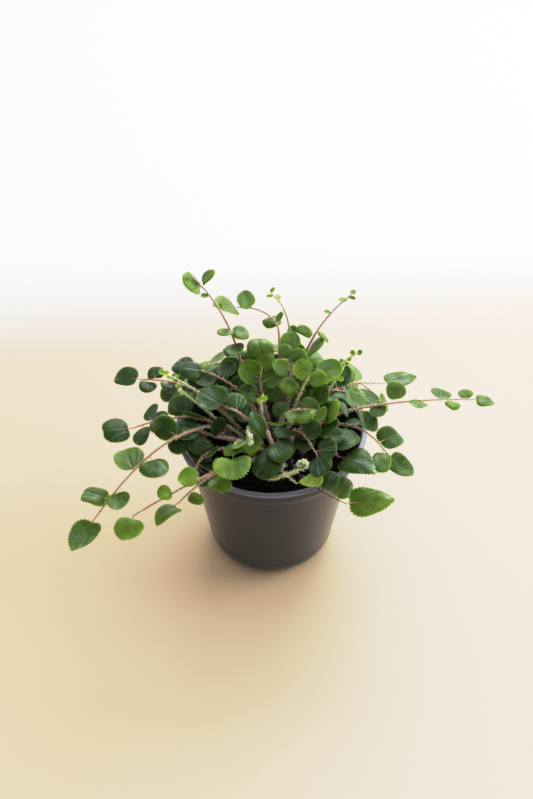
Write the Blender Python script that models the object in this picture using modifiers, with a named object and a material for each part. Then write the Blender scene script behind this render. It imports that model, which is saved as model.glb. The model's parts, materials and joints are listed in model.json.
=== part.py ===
"""Potted button fern: a tapered nursery pot, its soil, and one solid for each frond.

Metres, +Z up. The origin is the middle of the pot's underside, and -Y is the front.
"""

import math
from itertools import product

import bmesh
import bpy
import numpy as np
from mathutils import Matrix, Vector
from mathutils.bvhtree import BVHTree

MM = 0.001
GAP = 0.3 * MM
MERGE_DISTANCE = 0.01 * MM

POT_HEIGHT = 90 * MM
RIM_RADIUS = 52.5 * MM
RIM_DEPTH = 8 * MM
RIM_TAPER = 1.8 * MM
RIM_WIDTH = 3.4 * MM
RIM_ROUND = 1.2 * MM
WALL = 1.3 * MM
WALL_TOP_RADIUS = 47.6 * MM
WALL_LOW_RADIUS = 36.8 * MM
WALL_LOW_HEIGHT = 14 * MM
FOOT_RADIUS = 26 * MM
FLOOR_THICKNESS = 1.8 * MM
POT_STEPS = 36
SOIL_STEPS = 18
SHARP_DEGREES = 35
CORNER_STEPS = 3

NOTCH_COUNT = 8
NOTCH_WIDTH = 14 * MM
NOTCH_HEIGHT = 2.6 * MM
NOTCH_REACH = 1.45
NOTCH_INNER_RADIUS = 19.5 * MM
DRAIN_RADIUS = 2.6 * MM
DRAIN_CIRCLE = 23 * MM
DRAIN_SIDES = 6
DRAIN_CUTTER_LENGTH = FLOOR_THICKNESS * 4

SOIL_HEIGHT = 77 * MM
SOIL_DOME = 2 * MM
DOME_LEVEL = 0.5
DOME_RING = 0.5
ROOT_DEPTH = 11 * MM
ROOT_TURN = math.radians(137.508)
ROOT_SPACING = 3.3 * MM
ROOT_REACH = 0.48
ROOT_LIMIT = 20 * MM
LEAST_STEP = 1e-12
HOLE_RADIUS = 1.5 * MM
HOLE_SIDES = 6
HOLE_TOP = SOIL_HEIGHT + SOIL_DOME * 2

STEM_ROOT_RADIUS = 0.9 * MM
STEM_TIP_RADIUS = 0.55 * MM
STEM_SEGMENTS = 7
STEM_CLEARANCE = 3.2 * MM
STEM_ROUNDS = 60
STEM_PUSH = 0.12
STEM_HELD_SHARE = 0.25
LEAST_GAP = 1e-6
TUBE_SIDES = 3
TUBE_SPREAD = 1.4

LEAF_SIDES = 8
LEAF_THICKNESS = 0.7 * MM
LEAF_CLEARANCE = 0.45 * MM
LEAF_FACING = Vector((0.08, -0.28, 0.95))
SET_FACING = Vector((0, -0.12, 0.99))
SET_CALM = 0.4
FROND_FLATNESS = 0.45
STALK_SHARE = 0.08
TIP_RUN = 0.985
LEAF_SEED = 23
LEAST_GROWTH = 0.85
MIDWAY_GROWTH = 0.2
TIP_GROWTH = 1.1
TABLE_CLEARANCE = 3 * MM
POT_CLEARANCE = LEAF_CLEARANCE * 2
SOIL_CLEARANCE = POT_CLEARANCE * 2
UNDER_RIM_CLEARANCE = POT_CLEARANCE * 3

# How far around a stem's middle, a leaflet's middle and a leaflet's base others are looked for.
STEM_MARGIN = 4 * MM
LEAF_MARGIN = 0.6
BASE_MARGIN = 1.1

# How a leaflet may differ from its neighbours: angles in degrees, shares of its length.
SIDE_SWINGS = (55, 85)
TIP_SWINGS = (-12, 12)
LIFTS = (-8, 16)
ROLLS = (-26, 26)
LENGTHS = (0.94, 1.06)
WIDTHS = (0.84, 1.04)
CUPS = (-0.07, 0.05)
FOLDS = (-0.05, 0.28)

# What a leaflet that touches another frond tries in turn, in shares and degrees.
TRIED_SCALES = (1, 0.86, 0.72, 0.6)
TRIED_LIFTS = (0, 18, -18, 36, -36, 54)
TRIED_SWINGS = (0, -22, 22)
TRIED_ROLLS = (0, 28, -28)

CURL_TURNS = 1.4
CURL_POINTS = 10
CURL_TIGHTENING = 0.62

POT_FINISH = ((0.055, 0.052, 0.050), 0.45)
SOIL_FINISH = ((0.018, 0.014, 0.011), 0.95)
COLOURS = {
    "mature": ((0.045, 0.095, 0.045), 0.42),
    "green": ((0.085, 0.190, 0.040), 0.40),
    "young": ((0.200, 0.340, 0.060), 0.45),
}

# Each frond: its middle and its tip in millimetres from the middle of the soil's level, its
# colour, and its leaflets. A leaflet is its share of the way up the stem, its side
# (1 right, -1 left, 0 at the tip) and its length in millimetres. A leaflet set by hand is five
# numbers: its share of the way up, its length, the heading (0 is +X, 90 is +Y) and the rise of
# its midrib in degrees, and its breadth as a share of its length. Three numbers alone are a
# count, a length and a start for even leaflets.
FRONDS = [
    ("frond_front_left_long", (-46.5, -30.5, 36), (-93, -57, -1), "green",
     [(0.36, 14, -176, -2, 1.1), (0.52, 18, 141, 3, 0.75), (0.69, 16, -69, 5, 0.99),
      (0.78, 17.8, 112, 1, 0.93), (0.88, 13, -75, 5, 1.01), (0.91, 16.5, 158, 3, 0.78),
      (1, 21.5, -116, -9, 0.86)]),
    ("frond_front_left_low", (-32, -53, 30), (-73, -52, -3), "green",
     [(0.55, 12.5, 175, 0, 0.92), (0.74, 9, -164, 10, 1.03), (1, 15.4, -113, -12, 1.15)]),
    ("frond_front_left_short", (-26, -45, 25), (-48, -55, 11), "green",
     [(0.66, 13.8, -26, -8, 0.76), (0.90, 9.7, -19, -9, 0.75), (1, 16, -160, 6, 1)]),
    ("frond_right_long", (43, -16, 40), (109, -6, 38), "green",
     [(0.38, -1, 12), (0.47, 8.8, -160, 43, 1.08), (0.49, 14.8, 106, -2, 0.92),
      (0.57, 10.2, -15, -5, 1.07), (0.71, 12.8, 100, 11, 0.87),
      (0.80, 10.8, -117, 15, 1.0), (0.87, 11.3, 79, -17, 1.05), (0.91, 8.5, -90, 13, 1.03),
      (0.96, 8.7, 90, -2, 0.97), (1, 10.8, -3, -11, 0.96)]),
    ("frond_top_left_tall", (-20, 24, 53), (-42, 27, 95), "green",
     [(0.49, 10.6, -83, 7, 1.0), (0.56, 10.8, 11, -18, 1.07), (0.59, 9.4, -116, 4, 0.97),
      (0.72, 1, 5), (0.83, 6.5, -139, 4, 0.87), (0.88, 13.6, -173, 35, 1.16),
      (0.92, 11.4, 11, 40, 0.85), (1, 5, 150, 20, 0.8)]),
    ("frond_top_right_tall", (19, 23, 47), (43, 32, 79), "green",
     [(0.47, 15, -15, 50, 0.99), (0.61, 10.6, 157, 18, 0.69), (0.65, 9.5, 0, -48, 0.9),
      (0.80, 5.6, 152, 3, 0.6), (0.90, 6.4, 67, -11, 1.0), (0.96, 5.7, -31, -2, 0.7),
      (1, 4.8, 54, 6, 0.99)]),
    ("frond_top_thin", (10, 29, 49), (-1, 28, 83), "young",
     [(0.53, 7.3, 58, 34, 0.85), (0.75, 8, 179, -56, 0.65), (0.90, 4.5, 69, -4, 0.97),
      (0.95, 5, -169, -2, 0.7), (1, 5, 49, 33, 0.65)]),
    ("frond_front_right", (18.5, -46.5, 18), (38, -59, 15), "green",
     [(0.73, 13, 58, 22, 0.8), (0.88, 15, 62, 8, 0.75), (1, 25, 12, -12, 0.74)]),
    ("frond_front_pale", (5, -40, 20), (12.9, -51.5, 22), "young", [(1, 14, 7, -2, 0.6)]),
    ("frond_front_bright", (-15, -30, 31), (-19.5, -41, 35), "young",
     [(0.46, -1, 12), (0.54, 10.6, -25, -4, 1.2), (0.62, 12.8, -107, 1, 1.0), (0.80, -1, 11),
      (1, 17.6, -92, -8, 1.14)]),
    ("frond_front_middle", (-2, -26, 33), (2, -40, 33), "mature",
     [(0.45, 1, 13), (0.61, 14.9, 152, 5, 0.97), (0.79, 15.8, -54, -5, 0.99),
      (1, 16.2, -127, -23, 0.98)]),
    ("frond_front_inner", (13, -28, 37), (23, -42, 33), "mature",
     [(0.45, 1, 13), (0.55, -1, 12), (0.70, -1, 11), (0.93, 13, 143, 25, 1.01),
      (0.96, 12.8, 11, 29, 0.92), (1, 13.9, -79, -8, 0.94)]),
    ("frond_front_side", (23, -30, 37), (34, -41, 30.5), "mature",
     [(0.45, 1, 13), (0.55, -1, 13), (0.72, -1, 11), (0.87, 16.4, 36, 0, 0.9),
      (1, 20.5, -35, 12, 1)]),
    ("frond_right_front", (38, -22, 35), (60, -36, 27), "green",
     [(0.47, 9.7, 4, 8, 1.13), (0.76, 13.9, 86, 9, 0.85), (0.88, 15.6, 36, -5, 0.95),
      (0.94, 15, -98, -11, 0.7), (1, 17.4, -40, -22, 0.8)]),
    ("frond_top_left_back", (5, 48, 38), (-20, 70, 39), "green",
     [(0.56, 12, 121, -1, 0.96), (0.87, 12.3, 143, 44, 1.0), (1, 16.4, -152, 22, 1.3)]),
    ("frond_tip_right_upper", (29, 4, 41), (45, 6, 60), "young",
     [(0.55, 1, 9), (0.75, -1, 4), (0.85, 1, 4), (0.93, -1, 4), (1, 0, 5)]),
    ("frond_tip_right_lower", (27, -2, 34), (39, 8, 50), "young",
     [(0.42, 15, 59, 26, 0.85), (0.80, 1, 5), (0.90, -1, 4), (1, 0, 4)]),
    ("frond_crown_right", (14, -6, 39), (22, 2, 49), "young",
     [(0.45, 1, 12), (0.55, -1, 12), (0.80, 1, 11), (0.97, 11.7, -159, 50, 0.96),
      (1, 16.5, 15, 18, 0.95)]),
    ("frond_crown_left", (-5, 2, 33), (-5, 13, 46), "green",
     [(0.45, 1, 14), (0.50, -1, 14), (0.68, 1, 15), (0.74, -1, 14), (0.80, 15.5, 79, 34, 0.8),
      (1, 16, 103, 37, 0.98)]),
    ("frond_crown_middle", (10, 2, 37), (10, 12, 55), "green", (7, 11, 0.45)),
    ("frond_middle", (7, -17, 37), (28, -22, 43), "green",
     [(0.36, 12.7, -100, 4, 0.99), (0.41, 11, 95, 18, 0.88), (0.66, 1, 12),
      (0.78, 13.4, -90, 5, 0.95), (0.88, 1, 12), (1, 12, -45, 4, 1.2)]),
    ("frond_middle_left", (-13, -21, 38), (-24, -18, 44), "mature",
     [(0.40, 1, 12), (0.59, 13.1, 97, 10, 0.95), (0.75, 1, 12), (1, 18.5, 142, 3, 0.95)]),
    ("frond_middle_tip", (-5, -13, 33), (-5, -18, 49), "young",
     [(0.78, 1, 5), (0.90, -1, 5), (1, 0, 6)]),
    ("frond_left_upper", (-18, 2, 37), (-44, 15, 41), "mature",
     [(0.42, 1, 12), (0.55, -1, 13), (0.68, 1, 13), (0.86, 13.9, 176, 9, 0.9),
      (0.93, 13, -53, 1, 0.92), (1, 0, 13)]),
    ("frond_left_tip_upper", (-34, -3, 35), (-57, 3, 48), "young",
     [(0.86, 1, 4), (0.92, -1, 4), (0.97, 1, 4), (1, 0, 5)]),
    ("frond_left_tip_lower", (-30, -12, 30), (-49, -2, 42), "young",
     [(0.82, 1, 4), (0.93, -1, 4), (1, 0, 5)]),
    ("frond_left_middle", (-32, -22, 29), (-58, -13, 25), "mature", (6, 15, 0.40)),
    ("frond_left_front", (-30, -31, 25), (-40, -41, 18), "mature",
     [(0.45, 1, 12), (0.55, -1, 12), (0.82, 14.4, 115, -7, 1.0), (0.86, 12.5, 14, -8, 1.1),
      (1, 10, -40, -12, 0.9)]),
    ("frond_left_back", (-39, 9, 29), (-77, 40, 10), "mature",
     [(0.50, 1, 12), (0.55, -1, 13), (0.70, 1, 10), (0.76, 8.8, -64, 15, 1.03),
      (0.87, 11.2, 92, 3, 0.91), (0.92, 10.9, -90, 3, 0.98), (1, 17, 158, -7, 0.82)]),
    ("frond_left_long", (-40, -13, 31), (-76, -6, 16), "mature",
     [(0.50, -1, 14), (0.60, 1, 15), (0.87, 12.3, 83, 5, 0.88), (0.92, 13.9, -88, -8, 0.82),
      (1, 18, -158, 14, 0.9)]),
    ("frond_crown_back_left", (-9, 14, 29), (-18, 30, 33), "mature", (5, 14, 0.40)),
    ("frond_crown_back_right", (9, 16, 28), (17, 31, 31), "green", (5, 14, 0.40)),
    ("frond_right_back", (33, 9, 29), (64, 32, 14), "green",
     [(0.45, -1, 12), (0.50, 1, 13), (0.68, -1, 12), (0.72, 1, 11), (1, 21, 25, -10, 0.75)]),
]

# The fronds behind are not seen from the front and follow a rule around the back of the pot.
BACK_COUNT = 10
BACK_FROM = math.radians(8)
BACK_TO = math.radians(172)
BACK_REACHES = (50, 76, 62)
BACK_TIP_HEIGHTS = (20, -7, 6)
BACK_MIDDLE = 0.5
BACK_MIDDLE_HEIGHTS = (30, 30, 23)
BACK_LEAVES = ((6, 15, 0.36), (6, 13, 0.42), (6, 14, 0.36))
BACK_COLOURS = ("mature", "green", "mature")

# Each crozier: its middle and the top of its stem as above, and the radius of its curl.
CROZIERS = [
    ("crozier_front_left", (-11, -24, 34), (-11.3, -38.5, 39.5), 2.4),
    ("crozier_front_right", (-1, -46, 20), (16.2, -50.6, 33), 2.6),
]


def collection(name):
    """A new collection in the scene."""
    made = bpy.data.collections.new(name)
    bpy.context.scene.collection.children.link(made)
    return made


def material(name, colour, roughness):
    """A Principled material with one colour."""
    made = bpy.data.materials.new(name)
    made.use_nodes = True
    shader = made.node_tree.nodes["Principled BSDF"]
    shader.inputs["Base Color"].default_value = (*colour, 1)
    shader.inputs["Roughness"].default_value = roughness
    shader.inputs["Metallic"].default_value = 0
    made.diffuse_color = (*colour, 1)
    return made


def add_object(name, mesh, home, finish=None):
    """A new object in a collection, with its material."""
    made = bpy.data.objects.new(name, mesh)
    home.objects.link(made)
    if finish:
        mesh.materials.append(finish)
    return made


def apply_modifiers(made):
    """Bakes an object's modifiers into its mesh."""
    graph = bpy.context.evaluated_depsgraph_get()
    baked = bpy.data.meshes.new_from_object(made.evaluated_get(graph))
    made.modifiers.clear()
    made.data = baked


def turned(name, profile, steps, home, finish=None):
    """A closed profile of radius and height pairs, turned about Z."""
    mesh = bpy.data.meshes.new(name)
    points = [(radius, 0, height) for radius, height in profile]
    edges = [(index, index + 1) for index in range(len(points) - 1)]
    mesh.from_pydata(points, edges, [])
    made = add_object(name, mesh, home, finish)
    screw = made.modifiers.new("turn", "SCREW")
    screw.steps = steps
    screw.render_steps = steps
    screw.use_merge_vertices = True
    screw.merge_threshold = MERGE_DISTANCE
    apply_modifiers(made)
    return made


def boolean(made, others, operation):
    """Joins or cuts an object with every object of a collection, in one step."""
    change = made.modifiers.new(operation.lower(), "BOOLEAN")
    change.operation = operation
    change.operand_type = "COLLECTION"
    change.collection = others
    change.solver = "EXACT"
    apply_modifiers(made)


def remove_objects(others):
    """Removes the objects of a collection."""
    for other in list(others.objects):
        bpy.data.objects.remove(other)


def wall_radius(height):
    """The pot's outer wall radius between its low corner and its rim."""
    run = (height - WALL_LOW_HEIGHT) / (POT_HEIGHT - RIM_DEPTH - WALL_LOW_HEIGHT)
    return WALL_LOW_RADIUS + run * (WALL_TOP_RADIUS - WALL_LOW_RADIUS)


def low_corner(inset):
    """The rounded corner from the wall down to the foot, moved inward by an inset."""
    points = []
    for index in range(CORNER_STEPS + 1):
        turn = math.radians(90) * index / CORNER_STEPS
        radius = FOOT_RADIUS + (WALL_LOW_RADIUS - FOOT_RADIUS) * math.cos(turn)
        height = WALL_LOW_HEIGHT * (1 - math.sin(turn))
        points.append((radius - inset, height))
    return points


def make_pot(home, cutters, finish):
    """The pot: rim, tapered wall, rounded corner and floor, with notches and drain holes."""
    under_rim = POT_HEIGHT - RIM_DEPTH
    outer = [
        (RIM_RADIUS - RIM_WIDTH, POT_HEIGHT - RIM_ROUND),
        (RIM_RADIUS - RIM_WIDTH + RIM_ROUND, POT_HEIGHT),
        (RIM_RADIUS - RIM_ROUND, POT_HEIGHT),
        (RIM_RADIUS, POT_HEIGHT - RIM_ROUND),
        (RIM_RADIUS - RIM_TAPER, under_rim),
        (WALL_TOP_RADIUS, under_rim - RIM_ROUND),
    ]
    outer += low_corner(0)
    inner = [(radius, max(height, FLOOR_THICKNESS)) for radius, height in low_corner(WALL)]
    inner.reverse()
    inner += [(WALL_TOP_RADIUS - WALL, under_rim - RIM_ROUND)]
    profile = outer + [(0, 0), (0, FLOOR_THICKNESS)] + inner + [outer[0]]
    pot = turned("pot", profile, POT_STEPS, home, finish)

    for index in range(NOTCH_COUNT):
        turn = Matrix.Rotation(math.tau * index / NOTCH_COUNT, 4, "Z")
        add_notch(cutters, index, turn)
        add_drain(cutters, index, turn)
    boolean(pot, cutters, "DIFFERENCE")
    remove_objects(cutters)
    smooth(pot.data)
    return pot


def add_notch(cutters, index, turn):
    """A shallow radial channel across the foot, which lets water run out."""
    mesh = bpy.data.meshes.new(f"notch_{index}")
    form = bmesh.new()
    length = FOOT_RADIUS * NOTCH_REACH - NOTCH_INNER_RADIUS
    size = Matrix.Diagonal((length, NOTCH_WIDTH, NOTCH_HEIGHT * 2, 1))
    middle = Matrix.Translation((NOTCH_INNER_RADIUS + length / 2, 0, 0))
    bmesh.ops.create_cube(form, size=1, matrix=turn @ middle @ size)
    form.to_mesh(mesh)
    form.free()
    add_object(mesh.name, mesh, cutters)


def add_drain(cutters, index, turn):
    """A drain hole through the floor, inside a notch."""
    mesh = bpy.data.meshes.new(f"drain_{index}")
    form = bmesh.new()
    bmesh.ops.create_cone(
        form,
        cap_ends=True,
        segments=DRAIN_SIDES,
        radius1=DRAIN_RADIUS,
        radius2=DRAIN_RADIUS,
        depth=DRAIN_CUTTER_LENGTH,
        matrix=turn @ Matrix.Translation((DRAIN_CIRCLE, 0, FLOOR_THICKNESS)),
    )
    form.to_mesh(mesh)
    form.free()
    add_object(mesh.name, mesh, cutters)


def smooth(mesh):
    """Shades a mesh smooth, with its sharp edges kept."""
    mesh.shade_smooth()
    mesh.set_sharp_from_angle(angle=math.radians(SHARP_DEGREES))


def soil_top(radius):
    """The soil's height: a low dome that falls towards the wall."""
    return SOIL_HEIGHT + SOIL_DOME * (DOME_LEVEL - (radius / WALL_TOP_RADIUS) ** 2)


def make_soil(home, cutters, finish, roots):
    """The soil, which fills the pot up to its dome, with a plain hole for each stem."""
    edge = wall_radius(SOIL_HEIGHT) - WALL - GAP
    outer = [(radius, soil_top(radius)) for radius in (0, edge * DOME_RING, edge)]
    for radius, height in low_corner(WALL + GAP):
        outer.append((radius, max(height, FLOOR_THICKNESS + GAP)))
    soil = turned("soil", outer + [(0, FLOOR_THICKNESS + GAP)], SOIL_STEPS, home, finish)
    for index, root in enumerate(roots):
        add_hole(cutters, index, root)
    boolean(soil, cutters, "DIFFERENCE")
    remove_objects(cutters)
    return soil


def add_hole(cutters, index, root):
    """A plain round hole in the soil for one stem."""
    mesh = bpy.data.meshes.new(f"hole_{index}")
    form = bmesh.new()
    bottom = SOIL_HEIGHT - ROOT_DEPTH - GAP
    bmesh.ops.create_cone(
        form,
        cap_ends=True,
        segments=HOLE_SIDES,
        radius1=HOLE_RADIUS,
        radius2=HOLE_RADIUS,
        depth=HOLE_TOP - bottom,
        matrix=Matrix.Translation((root[0], root[1], (HOLE_TOP + bottom) / 2)),
    )
    form.to_mesh(mesh)
    form.free()
    add_object(mesh.name, mesh, cutters)


def above_soil(point):
    """A point given in millimetres from the middle of the soil's level, in metres."""
    return np.array(point) * MM + (0, 0, SOIL_HEIGHT)


def frond_plans():
    """Every frond with its sizes in metres: croziers, the chosen fronds, then those behind."""
    plans = []
    for name, middle, tip, radius in CROZIERS:
        plans.append({
            "name": name,
            "middle": above_soil(middle),
            "tip": above_soil(tip),
            "leaves": [],
            "curl": radius * MM,
            "colour": "young",
        })
    for name, middle, tip, colour, leaves in FRONDS:
        plans.append({
            "name": name,
            "middle": above_soil(middle),
            "tip": above_soil(tip),
            "leaves": leaves if isinstance(leaves, list) else even_leaflets(*leaves),
            "colour": colour,
        })
    up = np.array((0, 0, 1))
    for index in range(BACK_COUNT):
        turn = BACK_FROM + (BACK_TO - BACK_FROM) * (index + 0.5) / BACK_COUNT
        way = np.array((math.cos(turn), math.sin(turn), 0))
        pick = index % len(BACK_REACHES)
        reach = BACK_REACHES[pick]
        plans.append({
            "name": f"frond_back_{index + 1}",
            "middle": above_soil(way * reach * BACK_MIDDLE + up * BACK_MIDDLE_HEIGHTS[pick]),
            "tip": above_soil(way * reach + up * BACK_TIP_HEIGHTS[pick]),
            "leaves": even_leaflets(*BACK_LEAVES[pick]),
            "colour": BACK_COLOURS[pick],
        })
    return plans


def give_roots(plans):
    """Gives each stem a point of a sunflower pattern, swapped until all lean the least."""
    count = len(plans)
    turns = np.arange(count) * ROOT_TURN
    radii = ROOT_SPACING * np.sqrt(np.arange(count) + 0.5)
    roots = [np.array(point) for point in zip(radii * np.cos(turns), radii * np.sin(turns))]
    wishes = []
    for plan in plans:
        wish = plan["middle"][:2] * ROOT_REACH
        wishes.append(wish * min(1, ROOT_LIMIT / np.linalg.norm(wish)))
    swapped = True
    while swapped:
        swapped = False
        for first in range(count):
            for second in range(first):
                step = (roots[second] - roots[first]) @ (wishes[first] - wishes[second])
                if step > LEAST_STEP:
                    roots[first], roots[second] = roots[second], roots[first]
                    swapped = True
    for plan, root in zip(plans, roots):
        plan["root"] = root


def stem_points(plan):
    """A parabola from the soil through the middle to the tip, as evenly spread points."""
    start = np.array((*plan["root"], SOIL_HEIGHT + SOIL_DOME))
    bend = plan["middle"] * 2 - (start + plan["tip"]) / 2
    run = np.linspace(0, 1, STEM_SEGMENTS + 1)[:, None]
    return start * (1 - run) ** 2 + bend * 2 * run * (1 - run) + plan["tip"] * run ** 2


def part_stems(paths):
    """Moves stems that pass too close to each other apart, a little in each round."""
    count, steps = paths.shape[:2]
    hold = np.clip(np.linspace(0, 1 / STEM_HELD_SHARE, steps), 0, 1)[None, :, None]
    owners = np.repeat(np.arange(count), steps - 1)
    for _ in range(STEM_ROUNDS):
        starts = paths[:, :-1].reshape(-1, 3)
        ends = paths[:, 1:].reshape(-1, 3)
        thirds = [starts * (1 - share) + ends * share for share in (1 / 6, 1 / 2, 5 / 6)]
        push = np.zeros_like(paths)
        for first in thirds:
            for second in thirds:
                away = first[:, None] - second[None]
                gaps = np.linalg.norm(away, axis=2)
                near = (gaps < STEM_CLEARANCE) & (owners[:, None] != owners[None])
                strength = np.where(near, (STEM_CLEARANCE - gaps) / np.maximum(gaps, LEAST_GAP), 0)
                move = (away * strength[:, :, None]).sum(1).reshape(count, steps - 1, 3)
                push[:, :-1] += move * STEM_PUSH
                push[:, 1:] += move * STEM_PUSH
        paths = paths + push * hold
    return paths


def curl_points(plan, end, way):
    """The crozier's coil: a spiral that winds in, in the plane of the stem's last run."""
    up = Vector((0, 0, 1))
    side = way.cross(up).normalized()
    inward = side.cross(way).normalized()
    centre = end + inward * plan["curl"]
    points = []
    for index in range(1, CURL_POINTS + 1):
        run = index / CURL_POINTS
        turn = run * CURL_TURNS * math.tau
        radius = plan["curl"] * (1 - CURL_TIGHTENING * run)
        points.append(centre - inward * radius * math.cos(turn) + way * radius * math.sin(turn))
    return points


def full_path(plan):
    """A stem from the bottom of its hole to its end, with the coil of a crozier."""
    points = [Vector(point) for point in plan["path"]]
    foot = points[0].copy()
    foot.z = SOIL_HEIGHT - ROOT_DEPTH
    points.insert(0, foot)
    if "curl" in plan:
        way = (points[-1] - points[-2]).normalized()
        points += curl_points(plan, points[-1], way)
    return points


def make_stem(plan, home, finish):
    """A stem: a poly curve with a bevel that thins towards its tip, made a mesh."""
    points = full_path(plan)
    curve = bpy.data.curves.new(plan["name"], "CURVE")
    curve.dimensions = "3D"
    curve.bevel_depth = STEM_ROOT_RADIUS
    curve.bevel_resolution = 0
    curve.use_fill_caps = True
    spline = curve.splines.new("POLY")
    spline.points.add(len(points) - 1)
    thin = STEM_TIP_RADIUS / STEM_ROOT_RADIUS
    for index, point in enumerate(points):
        spline.points[index].co = (*point, 1)
        spline.points[index].radius = 1 + (thin - 1) * index / (len(points) - 1)
    shape = bpy.data.objects.new(plan["name"] + "_curve", curve)
    home.objects.link(shape)
    graph = bpy.context.evaluated_depsgraph_get()
    mesh = bpy.data.meshes.new_from_object(shape.evaluated_get(graph))
    bpy.data.objects.remove(shape)
    form = bmesh.new()
    form.from_mesh(mesh)
    bmesh.ops.remove_doubles(form, verts=form.verts, dist=MERGE_DISTANCE)
    bmesh.ops.recalc_face_normals(form, faces=form.faces)
    form.to_mesh(mesh)
    form.free()
    mesh.materials.clear()
    return add_object(plan["name"], mesh, home, finish)


def along_stem(path, run):
    """The point at a share of a stem's path, and the way the stem goes there."""
    place = run * (len(path) - 1)
    index = min(int(place), len(path) - 2)
    start = Vector(path[index])
    step = Vector(path[index + 1]) - start
    return start + step * (place - index), step.normalized()


def even_leaflets(count, length, start):
    """Leaflets on alternate sides, evenly spread and longest midway, with one at the tip."""
    leaves = []
    for index in range(count - 1):
        share = index / (count - 1)
        growth = LEAST_GROWTH + MIDWAY_GROWTH * math.sin(math.pi * share)
        leaves.append((start + (1 - start) * share, 1 - 2 * (index % 2), length * growth))
    return leaves + [(1, 0, length * TIP_GROWTH)]


def wished_leaflets(plan, draw):
    """The leaflets of a frond as wished, with small seeded differences in set and shape."""
    leaves = []
    for run, *wish in plan["leaves"]:
        base, way = along_stem(plan["path"], min(run, TIP_RUN))
        leaf = {
            "base": base,
            "way": way,
            "lift": draw.uniform(*LIFTS),
            "roll": draw.uniform(*ROLLS),
            "width": draw.uniform(*WIDTHS),
            "cup": draw.uniform(*CUPS),
            "fold": draw.uniform(*FOLDS),
        }
        if len(wish) == 2:
            side, length = wish
            leaf["side"] = side or 1
            leaf["swing"] = draw.uniform(*(SIDE_SWINGS if side else TIP_SWINGS))
            leaf["length"] = length * MM * draw.uniform(*LENGTHS)
        else:
            length, leaf["swing"], leaf["rise"], leaf["width"] = wish
            leaf["length"] = length * MM
            leaf["lift"] *= SET_CALM
            leaf["roll"] *= SET_CALM
        leaves.append(leaf)
    return leaves


def leaflet_axes(leaf, lift, swing, roll):
    """The leaflet's own directions: along it, across it, and out of its upper face."""
    turn = math.radians(leaf["swing"] + swing)
    if "rise" in leaf:
        facing = SET_FACING
        rise = math.radians(leaf["rise"])
        flat = Vector((math.cos(turn), math.sin(turn), 0)) * math.cos(rise)
        along = flat + Vector((0, 0, math.sin(rise)))
    else:
        way = leaf["way"]
        across = way.cross(LEAF_FACING).normalized() * leaf["side"]
        along = (way * math.cos(turn) + across * math.sin(turn)).normalized()
        facing = LEAF_FACING - way * LEAF_FACING.dot(way) * FROND_FLATNESS
    out = (facing - along * facing.dot(along)).normalized()
    lifted = Matrix.Rotation(math.radians(leaf["lift"] + lift), 3, along.cross(out))
    along = lifted @ along
    out = lifted @ out
    out = Matrix.Rotation(math.radians(leaf["roll"] + roll), 3, along) @ out
    return along, out.cross(along), out


def leaflet_surface(leaf, grow=0.0):
    """The blade's middle surface: its centre, then its rim from the stalk around.

    The rim is an oval that starts a short way from the stalk. The blade bulges or cups towards
    its centre, and folds up on both sides of its midrib.
    """
    length = leaf["length"]
    width = length * leaf["width"]
    centre = length * (1 + STALK_SHARE) / 2
    flat = [(centre, 0), (-grow, 0)]
    for index in range(LEAF_SIDES - 1):
        turn = math.pi * (1 - (2 * index + 1) / (LEAF_SIDES - 1)) * -1
        forward = centre + (length - centre + grow) * math.cos(turn)
        flat.append((forward, (width / 2 + grow) * math.sin(turn)))
    points = []
    for forward, sideways in flat:
        height = leaf["fold"] * abs(sideways)
        points.append(
            leaf["base"] + leaf["along"] * forward + leaf["across"] * sideways
            + leaf["out"] * height
        )
    points[0] -= leaf["out"] * leaf["cup"] * length
    return points


def blade_tree(leaf, grow):
    """A search tree of the blade as a thin closed body, grown by a clearance."""
    offset = leaf["out"] * (LEAF_THICKNESS / 2 + grow)
    surface = leaflet_surface(leaf, grow)
    points = [point + offset for point in surface] + [point - offset for point in surface]
    low = LEAF_SIDES + 1
    faces = []
    for index in range(LEAF_SIDES):
        here = 1 + index
        after = 1 + (index + 1) % LEAF_SIDES
        faces += [(0, here, after), (low, low + after, low + here)]
        faces += [(here, low + here, low + after), (here, low + after, after)]
    return BVHTree.FromPolygons(points, faces, all_triangles=True)


def stem_tree(plan):
    """A search tree of a stem as a three-sided tube that holds it, grown by a clearance."""
    points = []
    faces = []
    path = full_path(plan)
    radius = (STEM_ROOT_RADIUS + LEAF_CLEARANCE) * TUBE_SPREAD
    for index, point in enumerate(path):
        before = path[max(index - 1, 0)]
        after = path[min(index + 1, len(path) - 1)]
        way = (after - before).normalized()
        side = way.orthogonal().normalized()
        other = way.cross(side)
        for corner in range(TUBE_SIDES):
            turn = math.tau * corner / TUBE_SIDES
            spread = side * math.cos(turn) + other * math.sin(turn)
            points.append(point + spread * radius)
        if index:
            ring = (index - 1) * TUBE_SIDES
            for corner in range(TUBE_SIDES):
                here = ring + corner
                beside = ring + (corner + 1) % TUBE_SIDES
                faces += [(here, beside, beside + TUBE_SIDES)]
                faces += [(here, beside + TUBE_SIDES, here + TUBE_SIDES)]
    return BVHTree.FromPolygons(points, faces, all_triangles=True)


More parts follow.
